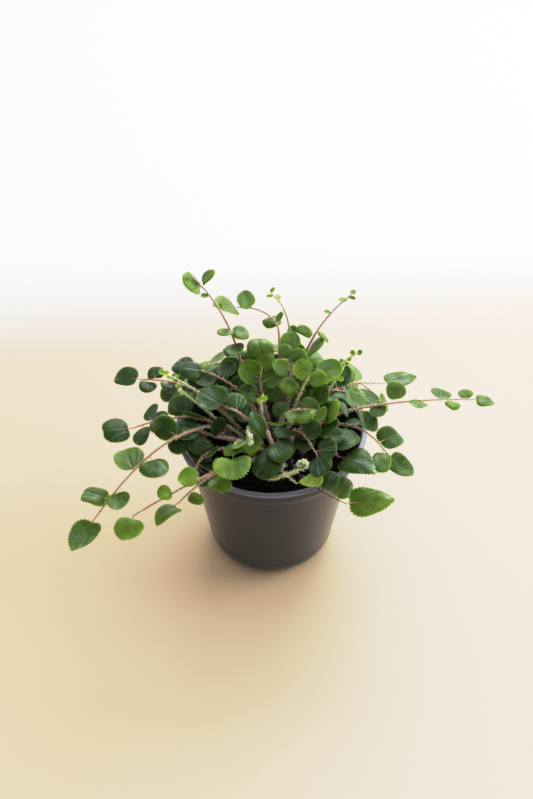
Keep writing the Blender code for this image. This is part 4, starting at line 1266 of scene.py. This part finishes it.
# A smooth curve through a stem's points, and its radii, which fall evenly towards its tip.
def stemTube(plan):
    look = stemForm
    path = fullPath(plan)
    coiled = "curl" in plan
    fine = curveThrough(path, look["coilSamples"] if coiled else look["samples"])
    run = np.linspace(0, 1, len(fine))
    tipRadius = look["coilRadius"] if coiled else look["tipRadius"]
    radii = look["rootRadius"] + (tipRadius - look["rootRadius"]) * run
    if "bare" in plan["touch"]:
        radii = radii * look["bareShare"]
    radii[-len(look["ending"]):] *= look["ending"]
    chord = fine[-1] - fine[0]
    normal = np.cross(chord, fine[len(fine) // 2] - fine[0])
    if coiled:
        normal = np.cross(plan["path"][-1] - plan["path"][-2], (0, 0, 1))
    return fine, radii, unit(normal + 1e-9), run


# Roots and directions of the hairs along a stem, denser on a coil.
def stemHairs(plan, fine, radii, draw):
    look = stemForm
    steps = np.linalg.norm(np.diff(fine, axis=0), axis=1)
    reach = np.concatenate([[0], np.cumsum(steps)])
    bare = stemRule["rootDepth"] + look["hairStart"]
    coilStart = reach[-1] - plan.get("curl", 0) * look["coilLength"]
    count = int((coilStart - bare) / look["hairSpacing"])
    if "bare" in plan["touch"]:
        count = count // look["bareHairs"]
    places = draw.uniform(bare, coilStart, count)
    if "curl" in plan:
        more = int((reach[-1] - coilStart) / look["coilHairSpacing"])
        places = np.concatenate([places, draw.uniform(coilStart, reach[-1], more)])
    centre = np.stack([np.interp(places, reach, fine[:, axis]) for axis in range(3)], 1)
    ways = unit(np.gradient(fine, axis=0))
    way = unit(np.stack([np.interp(places, reach, ways[:, axis]) for axis in range(3)], 1))
    spread = draw.normal(size=(len(places), 3))
    spread = unit(spread - way * (spread * way).sum(1, keepdims=True))
    outward = unit(spread + way * draw.uniform(*look["hairLean"], (len(places), 1)))
    radius = np.interp(places, reach, radii)[:, None] * look["hairDepth"]
    share = places / reach[-1]
    shortest, longest = look["hairLengths"]
    lengths = shortest + (longest - shortest) * draw.uniform(0, 1, len(places)) ** 1.5
    if "curl" not in plan:
        most, less = look["hairShortening"]
        lengths = lengths * (most - less * share)
    return centre + spread * radius, outward, lengths, share


# The little rolled leaflets on a coil: round buds along its last turns.
def coilBuds(plan, fine, draw):
    look = stemForm
    count = int(plan["curl"] * look["budLength"] / look["budSpacing"])
    index = np.linspace(len(fine) * look["budFrom"], len(fine) - 2, count).astype(int)
    normal = unit(np.cross(plan["path"][-1] - plan["path"][-2], (0, 0, 1)))
    sign = np.where(np.arange(count) % 2, 1, -1)[:, None]
    centre = fine[index] + normal * sign * look["budSize"] * look["budOut"]
    levels = np.radians(look["budLevels"])[:, None, None]
    up = np.array([0, 0, 1])
    rings = levelRing(look["budSides"])[None] * np.cos(levels) + up * np.sin(levels)
    size = look["budSize"] * draw.uniform(*look["budSpread"], count)
    rings = centre[:, None, None] + rings[None] * size[:, None, None, None]
    return closedForm(rings, centre - up * size[:, None], centre + up * size[:, None])


# One frond: its stem, hairs, blades and stalks, or for a crozier its stem, hairs and buds. The
# materials are numbered 0 for leaf, 1 for stem and 2 for hair. On a stem the place's first
# value is the share of the way up it, and the tone's are a draw, the age and its bareness.
def makeFrond(plan, materials, draw):
    name, leaves = plan["name"], plan["leaflets"]
    fine, radii, normal, run = stemTube(plan)
    age = ages["crozier" if "curl" in plan else plan["tint"]]
    tube = tubeRings(fine, radii, stemForm["sides"], normal)[None]
    points, faces = closedForm(tube, fine[:1], fine[-1:])
    ringRun = np.concatenate([[0], np.repeat(run, stemForm["sides"]), [1]])
    tone = perPoint(points, draw.uniform(), age, "bare" in plan["touch"])
    parts = [(points, faces, 1, perPoint(points, ringRun, 0, 0), tone)]

    roots, outward, lengths, hairRun = stemHairs(plan, fine, radii, draw)
    points, faces = hairForms(roots, outward, lengths, stemForm["hairRadius"])
    place = perPoint(points, np.repeat(hairRun, 4), 0, 0)
    parts.append((points, faces, 2, place, perPoint(points, 0, age, 0)))

    if leaves:
        points, faces, place, tone = bladeForms(leaves, draw, plan["touch"])
        parts.append((points, faces, 0, place, tone))
        points, faces = stalkForms(leaves)
        tone = perPoint(points, 0.5, age, 0)
        parts.append((points, faces, 1, perPoint(points, 0.8, 0, 0), tone))
    else:
        points, faces = coilBuds(plan, fine, draw)
        place = perPoint(points, 0.5, 0.5, 0.5)
        parts.append((points, faces, 0, place, perPoint(points, 0.5, 1, 1)))

    ending = "_hairy" if "curl" in plan else "_leafy"
    addPiece(name + ending, parts, materials, "leaves_" + plan["tint"], name)


leafLooks = {  # "age" is where on the stem the leaflets turn from deep to fresh
    "mature": {
        "deep": colour(0.008, 0.036, 0.002),
        "fresh": colour(0.056, 0.108, 0.012),
        "under": colour(0.075, 0.140, 0.030),
        "edge": colour(0.290, 0.410, 0.130),
        "age": (0.0, 0.45),
        "depth": 0.4,
    },
    "green": {
        "deep": colour(0.013, 0.052, 0.002),
        "fresh": colour(0.150, 0.232, 0.018),
        "under": colour(0.145, 0.225, 0.055),
        "edge": colour(0.380, 0.490, 0.150),
        "age": (0.1, 0.95),
        "depth": 0.45,
    },
    "young": {
        "deep": colour(0.045, 0.105, 0.007),
        "fresh": colour(0.230, 0.330, 0.030),
        "under": colour(0.270, 0.350, 0.080),
        "edge": colour(0.560, 0.610, 0.210),
        "age": (0.1, 1.0),
        "depth": 0.75,
    },
}

leafFinish = {
    "shader": {
        "IOR": 1.45,
        "Specular IOR Level": 0.38,
        "Coat Roughness": 0.22,
        "Subsurface Radius": (0.5, 1.0, 0.06),
        "Subsurface Scale": 1.0 * mm,
    },
    "cloudScale": 240,
    "wander": 0.10,  # how far the clouds bend the veins
    "runShare": 0.40,  # what makes a spot fresh: its leaflet's place on the stem,
    "toneShare": 0.45,  # its leaflet's own tone,
    "cloudShare": 0.75,  # the clouds,
    "rimPaintedLightShare": 0.24,  # and how near it is to the rim, as painted shade in the cupped middle and painted light at the rim
    "less": 0.06,
    "freshTo": 0.95,
    # past the freshest, blades turn to the pale edge colour: young leaflets' own paleness and a
    # painted glow of light through them
    "paleAndGlow": (1.2, 1.8),
    "paleAndGlowShare": 0.8,
    "patchScale": 70,
    "patches": (0.45, 0.65),
    "upper": (0.3, 0.7),
    "margin": (0.90, 1.0),
    "marginShares": (0.35, 0.25),
    "roughness": (0.28, 0.14, 0.25),  # everywhere, more with the clouds, more underneath
    "grainScale": 1800,
    "grainShare": 0.2,
    "veinShare": 0.8,
    "calm": (1.0, 1.3),  # young leaflets are smooth
    "bump": 0.7,
}

veinLook = {
    "count": 8.5,  # side veins from the midrib to one edge, before they fork
    "lean": 0.55,
    "curve": 0.16,
    "fork": (0.40, 0.60),
    "width": 0.45,
    "rib": (0.02, 0.10),
    "ribEnd": (0.55, 0.95),
    "strengths": (0.04, 0.16),
    "relief": 0.20 * mm,
}

sheenPaintLook = {  # a painted sheen: pale reflection painted on leaves in streaks from the stalk
    "colour": colour(0.225, 0.290, 0.255),
    "streaks": 5,
    "source": 0.25,  # the streaks meet this share of the length behind the stalk
    "drift": 0.06,
    "apart": 9,
    "spread": (0.36, 0.72),
    "patchScale": 85,
    "patches": (0.42, 0.64),
    "fade": (1.0, 1.4),
    "share": 0.50,
    "coat": (0.02, 0.50),
}


# How much of a vein lies here. Along a side vein, forward less the lean times the distance
# from the midrib, plus a little of its square, stays the same. The lines are where the sine
# of that is near nothing, and twice as many past the fork.
def veinMask(place, wander):
    look = veinLook
    forward, aside, ring = place.parts()
    aside = abs(aside)
    fan = forward - aside * look["lean"] + aside * aside * look["curve"] + wander
    single = abs((fan * (look["count"] * math.pi)).math("SINE"))
    double = abs((fan * (look["count"] * fullTurn)).math("SINE"))
    forked = aside.step(*look["fork"])
    wave = single * (1 - forked) + double * forked
    lines = 1 - wave.step(0, look["width"])
    rib = 1 - aside.step(*look["rib"])
    return lines.math("MAXIMUM", rib * (1 - forward.step(*look["ribEnd"]))), ring


# How much painted sheen lies here: noise that varies little but with the direction from the
# stalk, in patches.
def paintedSheenMask(spot, place, tone):
    look = sheenPaintLook
    forward, aside, _ = spot.parts()
    way = aside.math("DIVIDE", forward + look["source"])
    sockets = {0: way, 1: tone * look["apart"], 2: forward * look["drift"]}
    direction = way.node("ShaderNodeCombineXYZ", {}, sockets)
    streaks = direction.noise(look["streaks"], 1).step(*look["spread"])
    return streaks * place.noise(look["patchScale"], 2).step(*look["patches"])


# A leaf's colour goes from deep to fresh by age, tone and clouds, and by nearness to the rim, which
# paints shade in the cupped middle and light towards the rim. Over it lie the veins, a painted
# sheen, the paler underside and the margin.
def leafMaterial(name):
    look = leafLooks[name] | leafFinish
    fixed = look["shader"] | {"Subsurface Weight": look["depth"]}
    made, shader, place = newMaterial("leaf_" + name, fixed)
    tone, run, upper = attribute(place, "tone").parts()
    spot = attribute(place, "place")
    clouds = place.noise(look["cloudScale"], 4)
    uneven = clouds - 0.5
    veins, ring = veinMask(spot, uneven * look["wander"])
    age = run.step(*look["age"]) * look["runShare"] + tone * look["toneShare"]
    # Nearness to the rim paints shade in the cupped middle and light towards the rim.
    age = age + uneven * look["cloudShare"] + ring * ring * look["rimPaintedLightShare"] - look["less"]
    blade = age.step(0, look["freshTo"]).blend(look["deep"], look["fresh"])
    # Past the freshest the blade turns pale: young leaflets' own paleness with a painted glow of
    # light through them, and on one frond a painted sheen.
    blade = (age.step(*look["paleAndGlow"]) * look["paleAndGlowShare"]).blend(blade, look["edge"])
    faint, clear = veinLook["strengths"]
    patches = place.noise(look["patchScale"], 1).step(*look["patches"])
    blade = (veins * (patches * (clear - faint) + faint)).blend(blade, look["edge"])
    # Painted sheen: a pale reflection painted into the colour, which also raises the coat.
    paintedSheen = paintedSheenMask(spot, place, tone) * (1 - tone.step(*sheenPaintLook["fade"]))
    blade = (paintedSheen * sheenPaintLook["share"]).blend(blade, sheenPaintLook["colour"])
    blade = (1 - upper.step(*look["upper"])).blend(blade, look["under"])
    least, more = look["marginShares"]
    margin = ring.step(*look["margin"]) * (patches * more + least)
    connect(margin.blend(blade, look["edge"]), shader, "Base Color")
    dull, bright = sheenPaintLook["coat"]
    connect(paintedSheen * (bright - dull) + dull, shader, "Coat Weight")
    smooth, clouded, below = look["roughness"]
    connect(smooth + clouds * clouded + (1 - upper) * below, shader, "Roughness")
    relief = place.noise(look["grainScale"], 2) * look["grainShare"] - veins * look["veinShare"]
    calm = 1 - tone.step(*look["calm"])
    bump(relief * calm, veinLook["relief"], look["bump"], shader)
    return made


stemLook = {
    "shader": {"Roughness": 0.5, "Subsurface Weight": 0.1, "Subsurface Scale": 0.4 * mm},
    "hairShader": {"Roughness": 0.6, "Subsurface Weight": 0.2, "Subsurface Scale": 0.2 * mm},
    # dark foot: the buried root, and painted shade among the crowded stems just above the soil
    "root": colour(0.070, 0.042, 0.028),
    "old": colour(0.430, 0.265, 0.185),
    "fresh": colour(0.480, 0.500, 0.170),
    "bare": colour(0.050, 0.028, 0.020),
    "hairLowShade": colour(0.160, 0.100, 0.070),
    "hairOld": colour(0.860, 0.740, 0.640),
    "hairFresh": colour(0.940, 0.950, 0.860),
    "rootAndShadeEnds": (0.14, 0.36),  # where on the way up the dark foot ends: the buried root's colour, then painted shade above the soil
    "hairShadeEnds": (0.12, 0.32),
    "greenFrom": (0.75, 1.25),
    "runShare": 0.35,
    "streakShare": 0.6,
    "streakScale": (700, 700, 160),
    "relief": (0.12 * mm, 0.5),
    "hairCloudScale": 300,
    "hairPale": (0.2, 0.9),
}


def stemMaterial():
    look = stemLook
    made, shader, place = newMaterial("stem_skin", look["shader"])
    _, age, bare = attribute(place, "tone").parts()
    run = attribute(place, "place").parts()[0]
    streaks = place.stretched(look["streakScale"]).noise(1, 4)
    # Darker towards the foot: the buried root's colour, carried above the soil as painted shade.
    brown = run.step(*look["rootAndShadeEnds"]).blend(look["root"], look["old"])
    green = age + run * look["runShare"] + (streaks - 0.5) * look["streakShare"]
    skin = green.step(*look["greenFrom"]).blend(brown, look["fresh"])
    connect(bare.blend(skin, look["bare"]), shader, "Base Color")
    bump(streaks, *look["relief"], shader)
    return made


def hairMaterial():
    look = stemLook
    made, shader, place = newMaterial("stem_hair", look["hairShader"])
    age = attribute(place, "tone").parts()[1]
    run = attribute(place, "place").parts()[0]
    clouds = place.noise(look["hairCloudScale"], 2)
    pale = (age + (clouds - 0.5) * look["streakShare"]).step(*look["hairPale"])
    above = pale.blend(look["hairOld"], look["hairFresh"])
    # Hairs darker towards the foot: painted shade among the crowded stems.
    connect(run.step(*look["hairShadeEnds"]).blend(look["hairLowShade"], above), shader, "Base Color")
    return made


def makeFronds():
    plans = frondPlans()
    giveRoots(plans)
    paths = partStems(np.array([stemPoints(plan) for plan in plans]))
    for plan, path in zip(plans, paths):
        plan["path"] = path
    placeLeaflets(plans)
    print("leaflets placed:", sum(len(plan["leaflets"]) for plan in plans))
    leaf = {name: leafMaterial(name) for name in leafLooks}
    others = [stemMaterial(), hairMaterial()]
    draw = np.random.default_rng(bladeForm["seed"])
    for plan in plans:
        plan["touch"] = frondTouches.get(plan["name"], {})
        makeFrond(plan, [leaf[plan["tint"]], *others], draw)
    print("fronds made:", len(plans))


# Floor, light and camera

stageLook = {
    "size": 4.0,
    "shader": {"Roughness": 0.6, "Specular IOR Level": 0.3},
    # painted shade at the left and painted light at the right of the near floor
    "left": colour(0.645, 0.465, 0.305),
    "right": colour(0.690, 0.532, 0.378),
    "far": colour(0.880, 0.910, 0.955),
    "sides": (-0.16, 0.10),
    "fade": (0.165, 0.300),
    "slant": 0.10,  # the fade lies further back to the right
}

lampTarget = (0, 0, 0.08)

lights = {  # each lamp: where it stands, how wide it is, and its power
    "window": {"place": (1.1, 0.2, 0.42), "size": 0.7, "power": 11, "colour": (0.90, 0.95, 1)},
    "back": {"place": (0.25, 0.95, 0.95), "size": 0.9, "power": 12, "colour": (0.95, 0.97, 1)},
    "front": {"place": (0.05, -1.6, 0.60), "size": 1.4, "power": 7, "colour": (0.80, 0.92, 1)},
}

worldLook = {
    "colour": colour(0.95, 0.97, 1.0),
    "dim": 0.52,  # towards the camera and to the left
    "bright": 1.75,  # behind the pot, to the right and above
    "shares": (0.35, 0.75, 0.3),  # right, back and up
    "fade": (-0.45, 0.85),
}

# What the camera makes of the light: pairs of light, as a share of the whitest, and tone.
toneCurve = {
    "whitest": 2.12,
    "points": ((0.02, 0.018), (0.065, 0.079), (0.135, 0.212), (0.22, 0.43), (0.31, 0.66),
               (0.42, 0.785), (0.55, 0.87), (0.75, 0.955)),
}

viewLook = {
    "lens": 50,
    "sensor": 36,
    "elevation": math.radians(43.7),
    "distance": 0.595,
    "target": (-0.0027, 0, 0.109),
}


# A plain floor, warm near the pot and white far behind it, with painted shade warmest and darkest
# at its left and painted light paler to its right.
def makeFloor():
    look = stageLook
    half = look["size"] / 2
    mesh = bpy.data.meshes.new("floor")
    corners = [(-half, -half, 0), (half, -half, 0), (half, half, 0), (-half, half, 0)]
    mesh.from_pydata(corners, [], [(0, 1, 2, 3)])
    made, shader, place = newMaterial("floor_pale", look["shader"])
    across, depth, _ = place.parts()
    # Painted shade to the left, painted light to the right.
    near = across.step(*look["sides"]).blend(look["left"], look["right"])
    fade = (depth - across * look["slant"]).step(*look["fade"])
    connect(fade.blend(near, look["far"]), shader, "Base Color")
    mesh.materials.append(made)
    addObject("floor", mesh)


# The lamps, and a sky whose strength rises smoothly towards the back, the right and above.
def makeLights():
    for name, lamp in lights.items():
        data = bpy.data.lights.new(name, "AREA")
        data.size = lamp["size"]
        data.energy = lamp["power"]
        data.color = lamp["colour"]
        made = addObject(name, data)
        made.location = lamp["place"]
        way = Vector(lampTarget) - made.location
        made.rotation_euler = way.to_track_quat("-Z", "Y").to_euler()
    world = bpy.data.worlds.new("daylight")
    world.use_nodes = True
    background = world.node_tree.nodes["Background"]
    look = worldLook
    background.inputs["Color"].default_value = look["colour"]
    coordinates = world.node_tree.nodes.new("ShaderNodeTexCoord")
    ways = Wire(world.node_tree, coordinates.outputs["Generated"]).parts()
    right, back, up = [way * share for way, share in zip(ways, look["shares"])]
    side = (right + back + up).step(*look["fade"])
    connect(side * (look["bright"] - look["dim"]) + look["dim"], background, "Strength")
    bpy.context.scene.world = world


# The tone curve goes through the combined curve's points.
def setTones():
    view = bpy.context.scene.view_settings
    view.view_transform = "Standard"
    view.use_curve_mapping = True
    mapping = view.curve_mapping
    mapping.white_level = [toneCurve["whitest"]] * 3
    curve = mapping.curves[3]
    for light, tone in toneCurve["points"]:
        curve.points.new(light, tone)
    mapping.update()


# The camera looks level across, tipped down by its elevation, from its distance to the target.
def makeCamera():
    look = viewLook
    data = bpy.data.cameras.new("photoView")
    data.lens = look["lens"]
    data.sensor_width = look["sensor"]
    camera = addObject("photoView", data)
    back = Vector((0, -math.cos(look["elevation"]), math.sin(look["elevation"])))
    camera.location = Vector(look["target"]) + back * look["distance"]
    camera.rotation_euler = (math.pi / 2 - look["elevation"], 0, 0)
    bpy.context.scene.camera = camera


makeFloor()
makeLights()
setTones()
makeCamera()
makePot()
makeSoil()
makeFronds()

bpy.context.view_layer.update()
